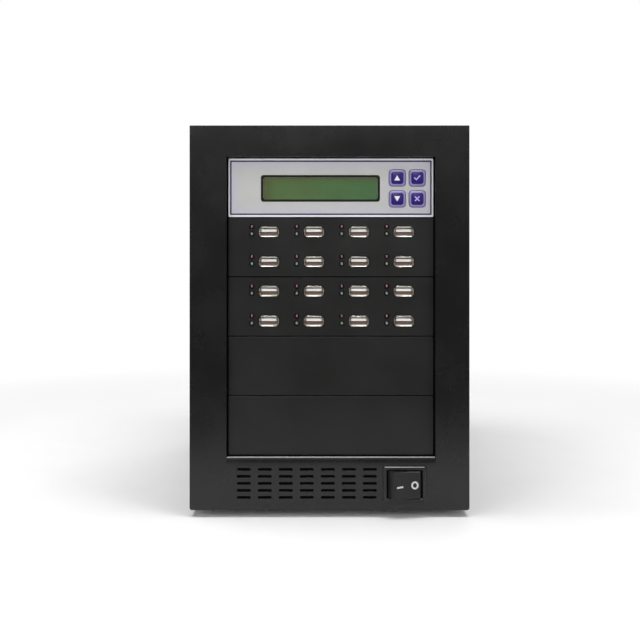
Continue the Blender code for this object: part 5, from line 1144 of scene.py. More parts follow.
def lamp_mesh():
    """Three-millimetre lamp: a domed resin body with a collar behind the face."""
    bm = bmesh.new()
    profile = [(LAMP_RADIUS + 0.3 * MM, 3.4 * MM), (LAMP_RADIUS + 0.3 * MM, 2.7 * MM),
               (LAMP_RADIUS, 2.7 * MM), (LAMP_RADIUS, 0.5 * MM)]
    steps = 8
    dome = 1.15 * MM
    for step in range(1, steps):
        angle = math.pi / 2.0 * step / steps
        profile.append((LAMP_RADIUS * math.cos(angle), 0.5 * MM - dome * math.sin(angle)))
    loops = [lay(circle(r, 28), "Y", y) for r, y in profile]
    loft(bm, loops)
    return to_mesh("lamp_dome", bm, 50.0 * DEGREE)


def make_usb_modules():
    """Two bays of eight sockets with a red and a green lamp beside each socket."""
    sockets = socket_mesh()
    red, green = lamp_mesh(), lamp_mesh()
    red.materials.append(LAMP_RED)
    green.materials.append(LAMP_GREEN)
    number = 1
    bosses = [(sx * USB_BOSS_X, sz * USB_BOSS_Z, BOSS_RADIUS, PORT_DEPTH)
              for sx in (-1.0, 1.0) for sz in (-1.0, 1.0)]
    ends = (-OVERRUN, MODULE_FACE + SINK)
    hole_w = PORT_MOUTH_WIDTH + 2.0 * PORT_HOLE_CLEARANCE
    hole_h = PORT_MOUTH_HEIGHT + 2.0 * PORT_HOLE_CLEARANCE
    for level in ("upper", "lower"):
        node = f"usb_faceplate_{level}"
        holes = []
        for x, z in port_places():
            outline = cut_corners(hole_w, hole_h, 2.2 * MM, 1.8 * MM, (x, z))
            holes.append((outline, *ends))
            for lamp_z in (LAMP_UPPER_Z, LAMP_LOWER_Z):
                outline = circle(LAMP_RADIUS + LAMP_HOLE_CLEARANCE, 28,
                                 (x + LAMP_X, z + lamp_z))
                holes.append((outline, *ends))
        obj = module_body(f"socket_panel_{level}", node, FACE_PLASTIC,
                          ARM_DEPTH, bosses, holes)
        soften(obj, 0.1 * MM)
        place = face_place(node)
        for x, z in port_places():
            at = place + Vector((x, 0.0, z))
            piece(f"usb_socket_{number:02d}", sockets, [], at=at,
                  node=f"usb_port_{number:02d}")
            for colour, mesh, lamp_z in (("red", red, LAMP_UPPER_Z),
                                         ("green", green, LAMP_LOWER_Z)):
                piece(f"lamp_{colour}_{number:02d}", mesh, [],
                      at=at + Vector((LAMP_X, 0.0, lamp_z)))
            number += 1
        make_socket_board(level, place)


def make_socket_board(level, place):
    """Board behind the sockets, with a pin header and small parts on its back."""
    front = PORT_DEPTH + GAP
    back = front + BOARD_THICKNESS
    bm = bmesh.new()
    prism(bm, rectangle(USB_BOARD_WIDTH, USB_BOARD_HEIGHT), "Y", front, back)
    sleeve(bm, rectangle(HEADER_WIDTH, HEADER_HEIGHT),
           rectangle(HEADER_WIDTH - 2.4 * MM, HEADER_HEIGHT - 2.0 * MM), "Y",
           back - 0.1 * MM, back + HEADER_DEPTH, finish=1)
    for column in range(8):
        for row in (-1.0, 1.0):
            x = (column - 3.5) * 2.54 * MM
            box(bm, around(x, 0.6 * MM), (back - 0.1 * MM, back + HEADER_DEPTH - 1.5 * MM),
                around(row * 1.27 * MM, 0.6 * MM), finish=2)
    for x, z in port_places():
        box(bm, around(x, 6.0 * MM), (back - 0.1 * MM, back + 1.4 * MM),
            around(z, 4.0 * MM), finish=1)
        for step in range(4):
            box(bm, around(x + (step - 1.5) * 2.2 * MM, 0.9 * MM),
                (back - 0.1 * MM, back + 0.6 * MM), around(z - 4.0 * MM, 1.7 * MM), finish=1)
    shifted(bm, place)
    board = make_board_material(f"socket_board_{level}", 1, place.y + front, place.y + back)
    obj = piece(f"socket_board_{level}", to_mesh(f"socket_board_{level}", bm),
                [board, CHIP_BLACK, GOLD], node=f"usb_board_{level}")
    soften(obj, 0.1 * MM, 1)


# Display bay
def key_places():
    right = KEY_COLUMN_X + KEY_COLUMN_PITCH
    return [("up", KEY_COLUMN_X, KEY_UPPER_Z), ("down", KEY_COLUMN_X, KEY_LOWER_Z),
            ("ok", right, KEY_UPPER_Z), ("esc", right, KEY_LOWER_Z)]


FILM = 0.18 * MM
INK = 0.03 * MM
BORDER_INSET = 1.35 * MM
LINE_WIDTH = 1.1 * MM
WINDOW_BORDER = 1.7 * MM
WINDOW_RADIUS = 2.1 * MM


def make_display_face():
    """Pale face, its printed overlay film and the ink on it."""
    node = "display_faceplate"
    place = face_place(node)
    low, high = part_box(node)
    width, height = high.x - low.x, high.z - low.z
    lens_at = (LENS_X, LENS_Z)
    bosses = [(x, sign * DISPLAY_BOSS_Z, SLIM_BOSS_RADIUS, DISPLAY_BACK)
              for x in (-DISPLAY_BOSS_X, DISPLAY_BOSS_RIGHT_X) for sign in (-1.0, 1.0)]
    key_x = KEY_COLUMN_X + KEY_COLUMN_PITCH / 2.0
    bosses += [(key_x, sign * KEY_BOSS_Z, SLIM_BOSS_RADIUS, KEY_BOARD_FRONT - GAP)
               for sign in (-1.0, 1.0)]
    shelf = 2.0 * WINDOW_BORDER - 0.1 * MM
    holes = [(rounded(LENS_WIDTH, LENS_HEIGHT, LENS_RADIUS, lens_at), -OVERRUN,
              LENS_THICKNESS + GAP)]
    hole = KEY_BASE + 2.0 * KEY_HOLE_CLEARANCE
    key_holes = [(rounded(hole, hole, KEY_BASE_RADIUS + KEY_HOLE_CLEARANCE, (x, z)),
                  -OVERRUN, MODULE_FACE + SINK) for _, x, z in key_places()]
    obj = module_body("display_face", node, PALE_PLASTIC, ARM_DEPTH, bosses,
                      holes + key_holes)
    through = bmesh.new()
    prism(through, rounded(LENS_WIDTH - shelf, LENS_HEIGHT - shelf, 0.6 * MM, lens_at), "Y",
          -OVERRUN, MODULE_FACE + SINK)
    cut(obj, shifted(through, place))
    soften(obj, 0.25 * MM)

    film_w, film_h = width - 2.0 * BORDER_INSET, height - 2.0 * BORDER_INSET
    bm = bmesh.new()
    prism(bm, rounded(film_w, film_h, 0.6 * MM, steps=4), "Y", -FILM, 0.0)
    film = piece("overlay_film", to_mesh("overlay_film", bm), [make_film_material()])
    cuts = bmesh.new()
    prism(cuts, rounded(LENS_WIDTH, LENS_HEIGHT, WINDOW_RADIUS, lens_at), "Y", -OVERRUN, OVERRUN)
    for outline, _, _ in key_holes:
        prism(cuts, outline, "Y", -OVERRUN, OVERRUN)
    cut(film, cuts)
    film.data.transform(Matrix.Translation(place))
    soften(film, 0.05 * MM, 1)

    bm = bmesh.new()
    sleeve(bm, rounded(film_w - 0.1 * MM, film_h - 0.1 * MM, 0.55 * MM, steps=4),
           rounded(film_w - 2.0 * LINE_WIDTH, film_h - 2.0 * LINE_WIDTH, 0.3 * MM, steps=4),
           "Y", -FILM - INK, -FILM)
    shifted(bm, place)
    piece("border_line", to_mesh("border_line", bm), [BLUE_INK])


def make_lens():
    """Clear window with a soft front edge, and the black border printed on it."""
    place = face_place("display_faceplate")
    width, height = LENS_WIDTH - 2.0 * GAP, LENS_HEIGHT - 2.0 * GAP
    radius = LENS_RADIUS - GAP
    edge = 0.2 * MM
    sections = [(rounded(width, height, radius, (LENS_X, LENS_Z)), LENS_THICKNESS),
                (rounded(width, height, radius, (LENS_X, LENS_Z)), edge),
                (rounded(width - 0.6 * edge, height - 0.6 * edge, radius - 0.3 * edge,
                         (LENS_X, LENS_Z)), 0.3 * edge),
                (rounded(width - 2.0 * edge, height - 2.0 * edge, radius - edge,
                         (LENS_X, LENS_Z)), 0.0)]
    bm = bmesh.new()
    loft(bm, [lay(outline, "Y", y) for outline, y in sections])
    shifted(bm, place)
    lens = piece("window_lens", to_mesh("window_lens", bm, 15.0 * DEGREE), [make_lens_material()],
                 node="display_window")
    bm = bmesh.new()
    reach = 2.0 * WINDOW_BORDER
    sleeve(bm, rounded(LENS_WIDTH - 0.1 * MM, LENS_HEIGHT - 0.1 * MM, LENS_RADIUS,
                       (LENS_X, LENS_Z), 8),
           rounded(LENS_WIDTH - reach, LENS_HEIGHT - reach, 1.5 * MM, (LENS_X, LENS_Z), 8),
           "Y", -0.06 * MM, -0.01 * MM)
    shifted(bm, place)
    piece("window_border", to_mesh("window_border", bm), [BLACK_INK])
    return lens


def key_mesh():
    """Key cap: hidden flange, an outer edge in a darker copy of the lavender as painted shade,
    pale slopes and a dark top.
    """
    steps = 5
    ring = 4 * (steps + 1)
    stem = circle(KEY_STEM_RADIUS, ring, turn=math.pi / ring)
    flange = rounded(KEY_FLANGE, KEY_FLANGE, KEY_BASE_RADIUS, steps=steps)
    base = rounded(KEY_BASE, KEY_BASE, KEY_BASE_RADIUS, steps=steps)
    lip = rounded(KEY_BASE - 0.5 * MM, KEY_BASE - 0.5 * MM, KEY_BASE_RADIUS - 0.2 * MM,
                  steps=steps)
    brow = rounded(KEY_BASE - 1.3 * MM, KEY_BASE - 1.3 * MM, KEY_BASE_RADIUS - 0.5 * MM,
                   steps=steps)
    foot = rounded(KEY_TOP, KEY_TOP, KEY_TOP_RADIUS + 0.75 * MM, steps=steps)
    top = rounded(KEY_TOP - 0.35 * MM, KEY_TOP - 0.35 * MM, KEY_TOP_RADIUS + 0.6 * MM,
                  steps=steps)
    crown = rounded(KEY_TOP - 1.0 * MM, KEY_TOP - 1.0 * MM, KEY_TOP_RADIUS + 0.3 * MM,
                    steps=steps)
    sections = [(stem, KEY_FLANGE_BACK + KEY_STEM_LENGTH), (stem, KEY_FLANGE_BACK),
                (flange, KEY_FLANGE_BACK), (flange, KEY_FLANGE_FRONT),
                (base, KEY_FLANGE_FRONT), (base, -KEY_STEP), (lip, -0.55 * MM),
                (brow, -0.75 * MM), (foot, -1.0 * MM), (top, -KEY_PROUD + 0.2 * MM),
                (crown, -KEY_PROUD)]
    # Finish 1, on the outer edge and the hidden parts, is the darker lavender: painted shade.
    finishes = [1, 1, 1, 1, 1, 1, 2, 2, 0, 0, 0]
    bm = bmesh.new()
    loft(bm, [lay(outline, "Y", y) for outline, y in sections], finishes=finishes, finish=1)
    mesh = to_mesh("key_cap", bm, 40.0 * DEGREE)
    for finish in (KEY_INDIGO, KEY_EDGE_SHADE, KEY_LAVENDER):
        mesh.materials.append(finish)
    return mesh


def stroke_mesh(name, lines, weight):
    """Raised straight strokes with round ends; lines are pairs of (x, z) points."""
    base = None
    for first, second in lines:
        first, second = Vector(first), Vector(second)
        along = second - first
        outline = slot(along.length + weight, weight, steps=6)
        turn = math.atan2(along.y, along.x)
        middle_point = (first + second) / 2.0
        outline = [(middle_point.x + u * math.cos(turn) - v * math.sin(turn),
                    middle_point.y + u * math.sin(turn) + v * math.cos(turn))
                   for u, v in outline]
        bm = bmesh.new()
        prism(bm, outline, "Y", -INK, INK)
        if base is None:
            base = new_object(name, to_mesh(name, bm))
        else:
            join(base, bm)
    mesh = base.data
    bpy.data.objects.remove(base, do_unlink=True)
    return mesh


def triangle_mesh(name, width, height, up):
    """Raised arrow head with round corners, pointing up or down."""
    sign = 1.0 if up else -1.0
    corners = [Vector((-width / 2.0, -sign * height / 2.0)),
               Vector((width / 2.0, -sign * height / 2.0)), Vector((0.0, sign * height / 2.0))]
    points = []
    for i, corner in enumerate(corners):
        before = (corners[i - 1] - corner).normalized() * 0.35 * MM
        after = (corners[(i + 1) % 3] - corner).normalized() * 0.35 * MM
        for step in range(4):
            share = step / 3.0
            points.append(tuple(corner + before * (1.0 - share) ** 2 + after * share ** 2))
    bm = bmesh.new()
    prism(bm, points, "Y", -INK, INK)
    return to_mesh(name, bm)


def make_keys():
    """Four keys, each with its raised white legend."""
    mesh = key_mesh()
    place = face_place("display_faceplate")
    arm = 1.35 * MM
    cross = [((-arm, -arm), (arm, arm)), ((-arm, arm), (arm, -arm))]
    tick = [((-1.8 * MM, -0.1 * MM), (-0.6 * MM, -1.3 * MM)),
            ((-0.6 * MM, -1.3 * MM), (1.9 * MM, 1.4 * MM))]
    legends = {"up": (triangle_mesh("legend_up", 4.3 * MM, 3.8 * MM, True), WHITE_INK),
               "down": (triangle_mesh("legend_down", 4.3 * MM, 3.8 * MM, False), WHITE_INK),
               "ok": (stroke_mesh("legend_ok", tick, 0.85 * MM), LAVENDER_INK),
               "esc": (stroke_mesh("legend_esc", cross, 0.85 * MM), LAVENDER_INK)}
    for name, x, z in key_places():
        at = place + Vector((x, 0.0, z))
        piece(f"key_cap_{name}", mesh, [], f"{name}_key", at, f"key_{name}")
        legend, colour = legends[name]
        piece(f"key_legend_{name}", legend, [colour], f"{name}_key",
              at - Vector((0.2 * MM, KEY_PROUD, 0.0)))


# Mains switch
def rocker_front(x):
    """Local y of the rocker's dished front at a local x."""
    share = x / ROCKER_PEAK_X
    peak = ROCKER_END_RADIUS * math.sin(ROCKER_PEAK_ANGLE)
    return -peak + ROCKER_DISH * (1.0 - share * share)


def rocker_outline(dish_steps=28, arc_steps=14):
    """Side view of the rocker about its pin: dished front, round ends, a keel."""
    skirt = math.asin(ROCKER_SKIRT / ROCKER_END_RADIUS)
    span = ROCKER_PEAK_ANGLE + skirt
    points = []
    for step in range(dish_steps + 1):
        x = ROCKER_PEAK_X * (2.0 * step / dish_steps - 1.0)
        points.append((x, rocker_front(x)))
    for step in range(1, arc_steps + 1):
        angle = -ROCKER_PEAK_ANGLE + span * step / arc_steps
        points.append((ROCKER_END_RADIUS * math.cos(angle), ROCKER_END_RADIUS * math.sin(angle)))
    points += [(ROCKER_KEEL_X, ROCKER_KEEL), (-ROCKER_KEEL_X, ROCKER_KEEL)]
    for step in range(arc_steps):
        angle = skirt - span * step / arc_steps
        points.append((-ROCKER_END_RADIUS * math.cos(angle), ROCKER_END_RADIUS * math.sin(angle)))
    return points


def on_rocker(outlines, ring):
    """A thin raised mark that follows the rocker's front; outlines are (x, z) loops."""
    bm = bmesh.new()
    loops = []
    for lift in (-0.10 * MM, 0.10 * MM):
        for outline in (outlines if lift < 0.0 else reversed(outlines)):
            loops.append([(x, rocker_front(x) + lift, z) for x, z in outline])
    loft(bm, loops, ring=ring)
    return bm


def make_switch():
    """Snap-in housing, its rocker with the two marks, and blade terminals."""
    at = Vector((SWITCH_X, FRONT_Y, BASE_Z + SWITCH_HEIGHT))

    def bezel_ring(inset):
        return rounded(BEZEL_WIDTH - 2.0 * inset, BEZEL_HEIGHT - 2.0 * inset,
                       BEZEL_RADIUS - 0.7 * inset)
    body = rounded(SWITCH_BODY_WIDTH, SWITCH_BODY_HEIGHT, GAP)
    bm = bmesh.new()
    loft(bm, [lay(o, "Y", y) for o, y in (
        (bezel_ring(1.25 * MM), -BEZEL_THICKNESS), (bezel_ring(0.80 * MM), -1.92 * MM),
        (bezel_ring(0.42 * MM), -1.70 * MM), (bezel_ring(0.14 * MM), -1.35 * MM),
        (bezel_ring(0.0), -0.90 * MM), (bezel_ring(0.0), -0.02 * MM), (body, -0.02 * MM),
        (body, SWITCH_BODY_DEPTH))])
    housing = piece("switch_bezel", to_mesh("switch_bezel", bm), [SWITCH_PLASTIC],
                    node="switch_housing")
    catches = bmesh.new()
    half = SWITCH_BODY_WIDTH / 2.0
    start = FRONT_SHEET + GAP
    for sign in (-1.0, 1.0):
        wedge = [(sign * (half - SINK), start), (sign * (half + SWITCH_CATCH), start),
                 (sign * (half - SINK), start + SWITCH_CATCH_LENGTH)]
        prism(catches, wedge, "Z", *around(0.0, SWITCH_CATCH_HEIGHT))
    join(housing, catches)
    well = bmesh.new()
    flare = 0.5 * MM
    loft(well, [lay(o, "Y", y) for o, y in (
        (rounded(SWITCH_WELL_WIDTH + 2.0 * flare, SWITCH_WELL_HEIGHT + 2.0 * flare, 0.8 * MM),
         -BEZEL_THICKNESS - OVERRUN),
        (rounded(SWITCH_WELL_WIDTH + 2.0 * flare, SWITCH_WELL_HEIGHT + 2.0 * flare, 0.8 * MM),
         -BEZEL_THICKNESS),
        (rounded(SWITCH_WELL_WIDTH, SWITCH_WELL_HEIGHT, 0.5 * MM), -BEZEL_THICKNESS + 0.7 * MM),
        (rounded(SWITCH_WELL_WIDTH, SWITCH_WELL_HEIGHT, 0.5 * MM),
         SWITCH_WELL_DEPTH - BEZEL_THICKNESS))])
    cut(housing, well)
    pin_hole = bmesh.new()
    prism(pin_hole, circle(ROCKER_PIN_RADIUS + GAP, 24, (0.0, ROCKER_PIVOT_Y)), "Z",
          *around(0.0, SWITCH_BODY_HEIGHT + 2.0 * OVERRUN))
    cut(housing, pin_hole)
    housing.data.transform(Matrix.Translation(at))
    soften(housing, 0.12 * MM)

    bm = bmesh.new()
    for sign in (-1.0, 1.0):
        for rise in (-1.0, 1.0):
            box(bm, around(sign * TERMINAL_SPREAD_X, TERMINAL_THICKNESS),
                (SWITCH_BODY_DEPTH - SINK, SWITCH_BODY_DEPTH + TERMINAL_LENGTH),
                around(rise * TERMINAL_SPREAD_Z, TERMINAL_WIDTH))
    blades = piece("switch_blades", to_mesh("switch_blades", shifted(bm, at)), [BRASS])
    soften(blades, 0.2 * MM)

    turn = Matrix.Translation(at + Vector((0.0, ROCKER_PIVOT_Y, 0.0))) \
        @ Matrix.Rotation(ROCKER_REST_ANGLE, 4, "Z")
    bm = bmesh.new()
    prism(bm, rocker_outline(), "Z", *around(0.0, ROCKER_HEIGHT))
    mesh = to_mesh("rocker_cap", bm, 30.0 * DEGREE)
    rocker = piece("rocker_cap", mesh, [ROCKER_PLASTIC], "rocker", node="switch_rocker")
    soften(rocker, 0.45 * MM, 4, 34.0 * DEGREE)
    rocker.data = evaluated_mesh(rocker)
    rocker.modifiers.clear()
    pin = bmesh.new()
    prism(pin, circle(ROCKER_PIN_RADIUS, 24), "Z",
          *around(0.0, SWITCH_BODY_HEIGHT - 2.0 * GAP))
    join(rocker, pin)
    rocker.data.transform(turn)

    ring_at = (5.4 * MM, 0.0)
    ring = on_rocker([circle(2.55 * MM, 48, ring_at, tall=1.10),
                      circle(1.40 * MM, 48, ring_at, tall=1.18)], True)
    bar = slot(5.0 * MM, 1.2 * MM, steps=6)
    lean = 4.0 * DEGREE
    bar = [(-5.6 * MM + u * math.cos(lean) - v * math.sin(lean),
            -0.9 * MM + u * math.sin(lean) + v * math.cos(lean)) for u, v in bar]
    dash = on_rocker([bar], False)
    for name, bm in (("rocker_mark_off", ring), ("rocker_mark_on", dash)):
        mesh = to_mesh(name, bm)
        mesh.transform(turn)
        piece(name, mesh, [MARK_WHITE], "rocker")


# Rear side
def make_rear_panel():
    """Rear sheet with returns, the supply's cut-out, the fan's bore and screw holes."""
    low, high = rear_low, rear_high
    inner_y = high.y - SHEET
    bm = bmesh.new()
    box(bm, (low.x, high.x), (low.y, high.y), (low.z, high.z))
    obj = piece("rear_sheet", to_mesh("rear_sheet", bm), [ZINC], node="rear_panel")
    pocket = bmesh.new()
    box(pocket, (low.x + SHEET, high.x - SHEET), (low.y - OVERRUN, inner_y),
        (low.z - OVERRUN, high.z - SHEET))
    cut(obj, pocket)
    corners = bmesh.new()
    above_tray = BASE_Z + TRAY_FLANGE + GAP
    for sign in (-1.0, 1.0):
        limits = sorted((sign * (high.x - SHEET - OVERRUN), sign * (high.x + OVERRUN)))
        box(corners, limits, (low.y - OVERRUN, inner_y), (low.z - OVERRUN, above_tray))
    cut(obj, corners)

    ends = (inner_y - OVERRUN, high.y + OVERRUN)
    fan = middle("rear_fan_frame")
    holes = bmesh.new()
    prism(holes, rectangle(PSU_WIDTH - 2.0 * PSU_FRAME, PSU_HEIGHT - 2.0 * PSU_FRAME,
                           (0.0, low.z + PSU_HEIGHT / 2.0)), "Y", *ends)
    prism(holes, circle(FAN_BORE_RADIUS, 96, (fan.x, fan.z)), "Y", *ends)
    for x, z in cover_screw_places():
        prism(holes, circle(COVER_SCREW_RADIUS + GAP, 24, (x, z)), "Y", *ends)
    cut(obj, holes)

    def fold_share(start, end):
        points = (start, end)
        on_side = all(near(abs(p.x), high.x) for p in points)
        on_top = all(near(p.z, high.z) for p in points)
        return all(near(p.y, high.y) for p in points) and (on_side or on_top)
    fold(obj, fold_share, 1.2 * MM)
    soften(obj, 0.2 * MM, sheet=True)


def spider_outline(core, arm_width, reach, arms, steps=8):
    """A disc with straight arms, the first half a pitch from +u, as one outline."""
    half = arm_width / 2.0
    root_angle = math.asin(half / core)
    root = core * math.cos(root_angle)
    points = []
    for arm in range(arms):
        angle = math.pi * (2.0 * arm + 1.0) / arms
        cos, sin = math.cos(angle), math.sin(angle)
        for along, across in ((root, -half), (reach, -half), (reach, half), (root, half)):
            points.append((along * cos - across * sin, along * sin + across * cos))
        span = 2.0 * math.pi / arms - 2.0 * root_angle
        for step in range(1, steps):
            between = angle + root_angle + span * step / steps
            points.append((core * math.cos(between), core * math.sin(between)))
    return points


def fan_frame_mesh():
    """Fan frame with a round duct, corner lands, struts and a motor seat."""
    bm = bmesh.new()
    prism(bm, rounded(FAN_SIZE, FAN_SIZE, FAN_CORNER), "Y", -FAN_DEPTH, 0.0)
    obj = new_object("fan_frame_base", to_mesh("fan_frame", bm))
    obj.data.materials.append(FAN_PLASTIC)
    obj.data.materials.append(LABEL_STEEL)
    # The waist between the two flanges
    waist = bmesh.new()
    flange = 3.5 * MM
    outer = rounded(FAN_SIZE + 2.0 * OVERRUN, FAN_SIZE + 2.0 * OVERRUN, FAN_CORNER, steps=18)
    inner = circle(FAN_BORE_RADIUS + 1.7 * MM, len(outer), turn=math.pi / len(outer) * 0.0)
    sleeve(waist, outer, inner, "Y", -FAN_DEPTH + flange, -flange)
    cut(obj, waist)
    holes = bmesh.new()
    ends = (-FAN_DEPTH - OVERRUN, OVERRUN)
    bell = 1.2 * MM
    loft(holes, [lay(circle(r, 96), "Y", y) for r, y in (
        (FAN_BORE_RADIUS + bell, ends[0]), (FAN_BORE_RADIUS + bell, -FAN_DEPTH),
        (FAN_BORE_RADIUS, -FAN_DEPTH + 3.0 * MM), (FAN_BORE_RADIUS, ends[1]))])
    offset = FAN_HOLE_PITCH / 2.0
    for x in (-offset, offset):
        for z in (-offset, offset):
            prism(holes, circle(FAN_HOLE_RADIUS, 20, (x, z)), "Y", *ends)
    cut(obj, holes)
    seat = bmesh.new()
    prism(seat, spider_outline(FAN_MOTOR_RADIUS, FAN_STRUT, FAN_STRUT_REACH, FAN_STRUT_COUNT),
          "Y", -FAN_MOTOR_DEPTH, -FAN_SEAT_INSET)
    join(obj, seat)
    soften(obj, 0.35 * MM)
    mesh = evaluated_mesh(obj)
    bpy.data.objects.remove(obj, do_unlink=True)
    label = bmesh.new()
    label.from_mesh(mesh)
    loft(label, [lay(circle(12.5 * MM, 48), "Y", -FAN_SEAT_INSET - 0.05 * MM),
                 lay(circle(12.5 * MM, 48), "Y", -FAN_SEAT_INSET + 0.08 * MM)], finish=1)
    label.to_mesh(mesh)
    label.free()
    return mesh


def blade_section(radius, share, middle_y, start_angle, stations=9):
    """One cambered section of a blade with round edges, wrapped on a cylinder."""
    chord = FAN_ROOT_CHORD + (FAN_TIP_CHORD - FAN_ROOT_CHORD) * share
    pitch = FAN_ROOT_PITCH + (FAN_TIP_PITCH - FAN_ROOT_PITCH) * share
    upper, lower = [], []
    for station in range(stations):
        along = station / (stations - 1.0) - 0.5
        half = FAN_BLADE_THICKNESS / 2.0 * math.sqrt(max(0.04, 1.0 - (2.0 * along) ** 4))
        camber = FAN_BLADE_CAMBER * (1.0 - (2.0 * along) ** 2)
        lower.append((along, camber - half))
        upper.append((along, camber + half))
    points = []
    for along, rise in lower + upper[::-1]:
        sweep = along * chord * math.cos(pitch) - rise * math.sin(pitch)
        y = middle_y + along * chord * math.sin(pitch) + rise * math.cos(pitch)
        angle = start_angle + sweep / radius
        points.append((radius * math.cos(angle), y, radius * math.sin(angle)))
    return points


def fan_rotor_mesh():
    """Turned hub with twisted, cambered blades."""
    front = -FAN_DEPTH + FAN_FRONT_CLEARANCE
    back = -FAN_MOTOR_DEPTH - GAP
    sides = 84
    profile = [(FAN_HUB_RADIUS - 2.6 * FAN_HUB_CHAMFER, front - 0.2 * MM)]
    for step in range(6):
        angle = math.pi / 2.0 * step / 5.0
        profile.append((FAN_HUB_RADIUS - FAN_HUB_CHAMFER * (1.0 - math.sin(angle)),
                        front + FAN_HUB_CHAMFER * (1.0 - math.cos(angle))))
    profile += [(FAN_HUB_RADIUS, back), (FAN_AXLE_RADIUS, back),
                (FAN_AXLE_RADIUS, -FAN_SEAT_INSET - 0.1 * MM)]
    bm = bmesh.new()
    loft(bm, [lay(circle(r, sides), "Y", y) for r, y in profile])
    obj = new_object("fan_rotor_base", to_mesh("fan_rotor", bm))
    obj.data.materials.append(FAN_PLASTIC)
    blades = bmesh.new()
    middle_y = (front + back) / 2.0
    for blade in range(FAN_BLADE_COUNT):
        start = 2.0 * math.pi * blade / FAN_BLADE_COUNT
        loops = []
        for step in range(11):
            share = step / 10.0
            radius = FAN_BLADE_ROOT + (FAN_TIP_RADIUS - FAN_BLADE_ROOT) * share
            loops.append(blade_section(radius, share, middle_y, start))
        loft(blades, loops)
    join(obj, blades)
    mesh = obj.data
    mesh.shade_smooth()
    mesh.set_sharp_from_angle(angle=34.0 * DEGREE)
    bpy.data.objects.remove(obj, do_unlink=True)
    return mesh


def wire(name, splines, radius, finish, body, node=None, material_slot=None):
    """Round wire along closed or open lines, as one mesh piece."""
    curve = bpy.data.curves.new(name, "CURVE")
    curve.dimensions = "3D"
    curve.bevel_depth = radius
    curve.bevel_resolution = 4
    curve.use_fill_caps = True
    for points, closed in splines:
        spline = curve.splines.new("POLY")
        spline.points.add(len(points) - 1)
        for target, point in zip(spline.points, points):
            target.co = (*point, 1.0)
        spline.use_cyclic_u = closed
    holder = new_object(f"{name}_curve", curve)
    mesh = evaluated_mesh(holder)
    bpy.data.objects.remove(holder, do_unlink=True)
    mesh.shade_smooth()
    return piece(name, mesh, [finish], body, node=node)


def make_fans():
    """Both fans: frames, rotors, and the wire guard of the rear one."""
    frame_mesh = fan_frame_mesh()
    rotor_mesh = fan_rotor_mesh()
    for label, prefix in (("rear", "rear_fan"), ("supply", "psu_fan")):
        _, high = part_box(f"{prefix}_frame")
        centre = middle(f"{prefix}_frame")
        at = (centre.x, high.y, centre.z)
        piece(f"{label}_fan_housing", frame_mesh, [], at=at, node=f"{prefix}_frame")
        piece(f"{label}_fan_wheel", rotor_mesh, [], f"{label}_fan", at, f"{prefix}_rotor")

    low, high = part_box("rear_fan_guard")
    centre = middle("rear_fan_guard")
    radius = GUARD_WIRE / 2.0
    ring_y = low.y + GUARD_BOW + radius
    arm_y = low.y + radius
    splines = []
    for ring in range(1, GUARD_RING_COUNT + 1):
        loop = circle(ring * GUARD_RING_PITCH, 72, (centre.x, centre.z))
        splines.append(([(u, ring_y, v) for u, v in loop], True))
    ear = FAN_HOLE_PITCH / 2.0
    for index in range(4):
        angle = math.pi * (2.0 * index + 1.0) / 4.0
        direction = (math.cos(angle), math.sin(angle))
        sign_x = 1.0 if direction[0] > 0.0 else -1.0
        sign_z = 1.0 if direction[1] > 0.0 else -1.0
        eye = (centre.x + sign_x * ear, centre.z + sign_z * ear)
        reach = math.hypot(ear, ear) - FAN_HOLE_RADIUS - radius
        points = [(centre.x + direction[0] * along, arm_y, centre.z + direction[1] * along)
                  for along in (4.0 * MM, reach)]
        splines.append((points, False))
        loop = circle(FAN_HOLE_RADIUS + radius, 24, eye)
        splines.append(([(u, arm_y, v) for u, v in loop], True))
    hub = circle(4.4 * MM, 36, (centre.x, centre.z))
    splines.append(([(u, arm_y, v) for u, v in hub], True))
    wire("fan_guard_wires", splines, radius, SCREW_NICKEL, CHASSIS, "rear_fan_guard", "nickel")
    make_guard_screws(centre, ear, low.y + GUARD_WIRE)


def make_guard_screws(centre, ear, seat):
    """Four pan-head screws with a cross recess that hold the guard."""
    mesh = pan_screw_mesh(3.4 * MM, 1.9 * MM)
    for number, (sx, sz) in enumerate(((-1, -1), (1, -1), (-1, 1), (1, 1)), start=1):
        piece(f"fan_screw_{number}", mesh, [],
              at=(centre.x + sx * ear, seat, centre.z + sz * ear))


def pan_screw_mesh(radius, rise):
    """Pan-head screw seen from +Y, with a cross recess."""
    profile = [(radius * 0.45, -2.4 * MM), (radius * 0.45, 0.0), (radius, 0.0),
               (radius, rise * 0.35)]
    for step in range(1, 5):
        angle = math.pi / 2.0 * step / 5.0
        profile.append((radius * math.cos(angle), rise * (0.35 + 0.65 * math.sin(angle))))
    bm = bmesh.new()
    loft(bm, [lay(circle(r, 32), "Y", y) for r, y in profile])
    obj = new_object("screw_base", to_mesh("pan_screw", bm, 40.0 * DEGREE))
    obj.data.materials.append(SCREW_NICKEL)
    for size in ((radius * 1.1, radius * 0.24), (radius * 0.24, radius * 1.1)):
        recess = bmesh.new()
        box(recess, around(0.0, size[0]), (rise * 0.35, rise + OVERRUN), around(0.0, size[1]))
        cut(obj, recess)
    mesh = obj.data
    bpy.data.objects.remove(obj, do_unlink=True)
    return mesh


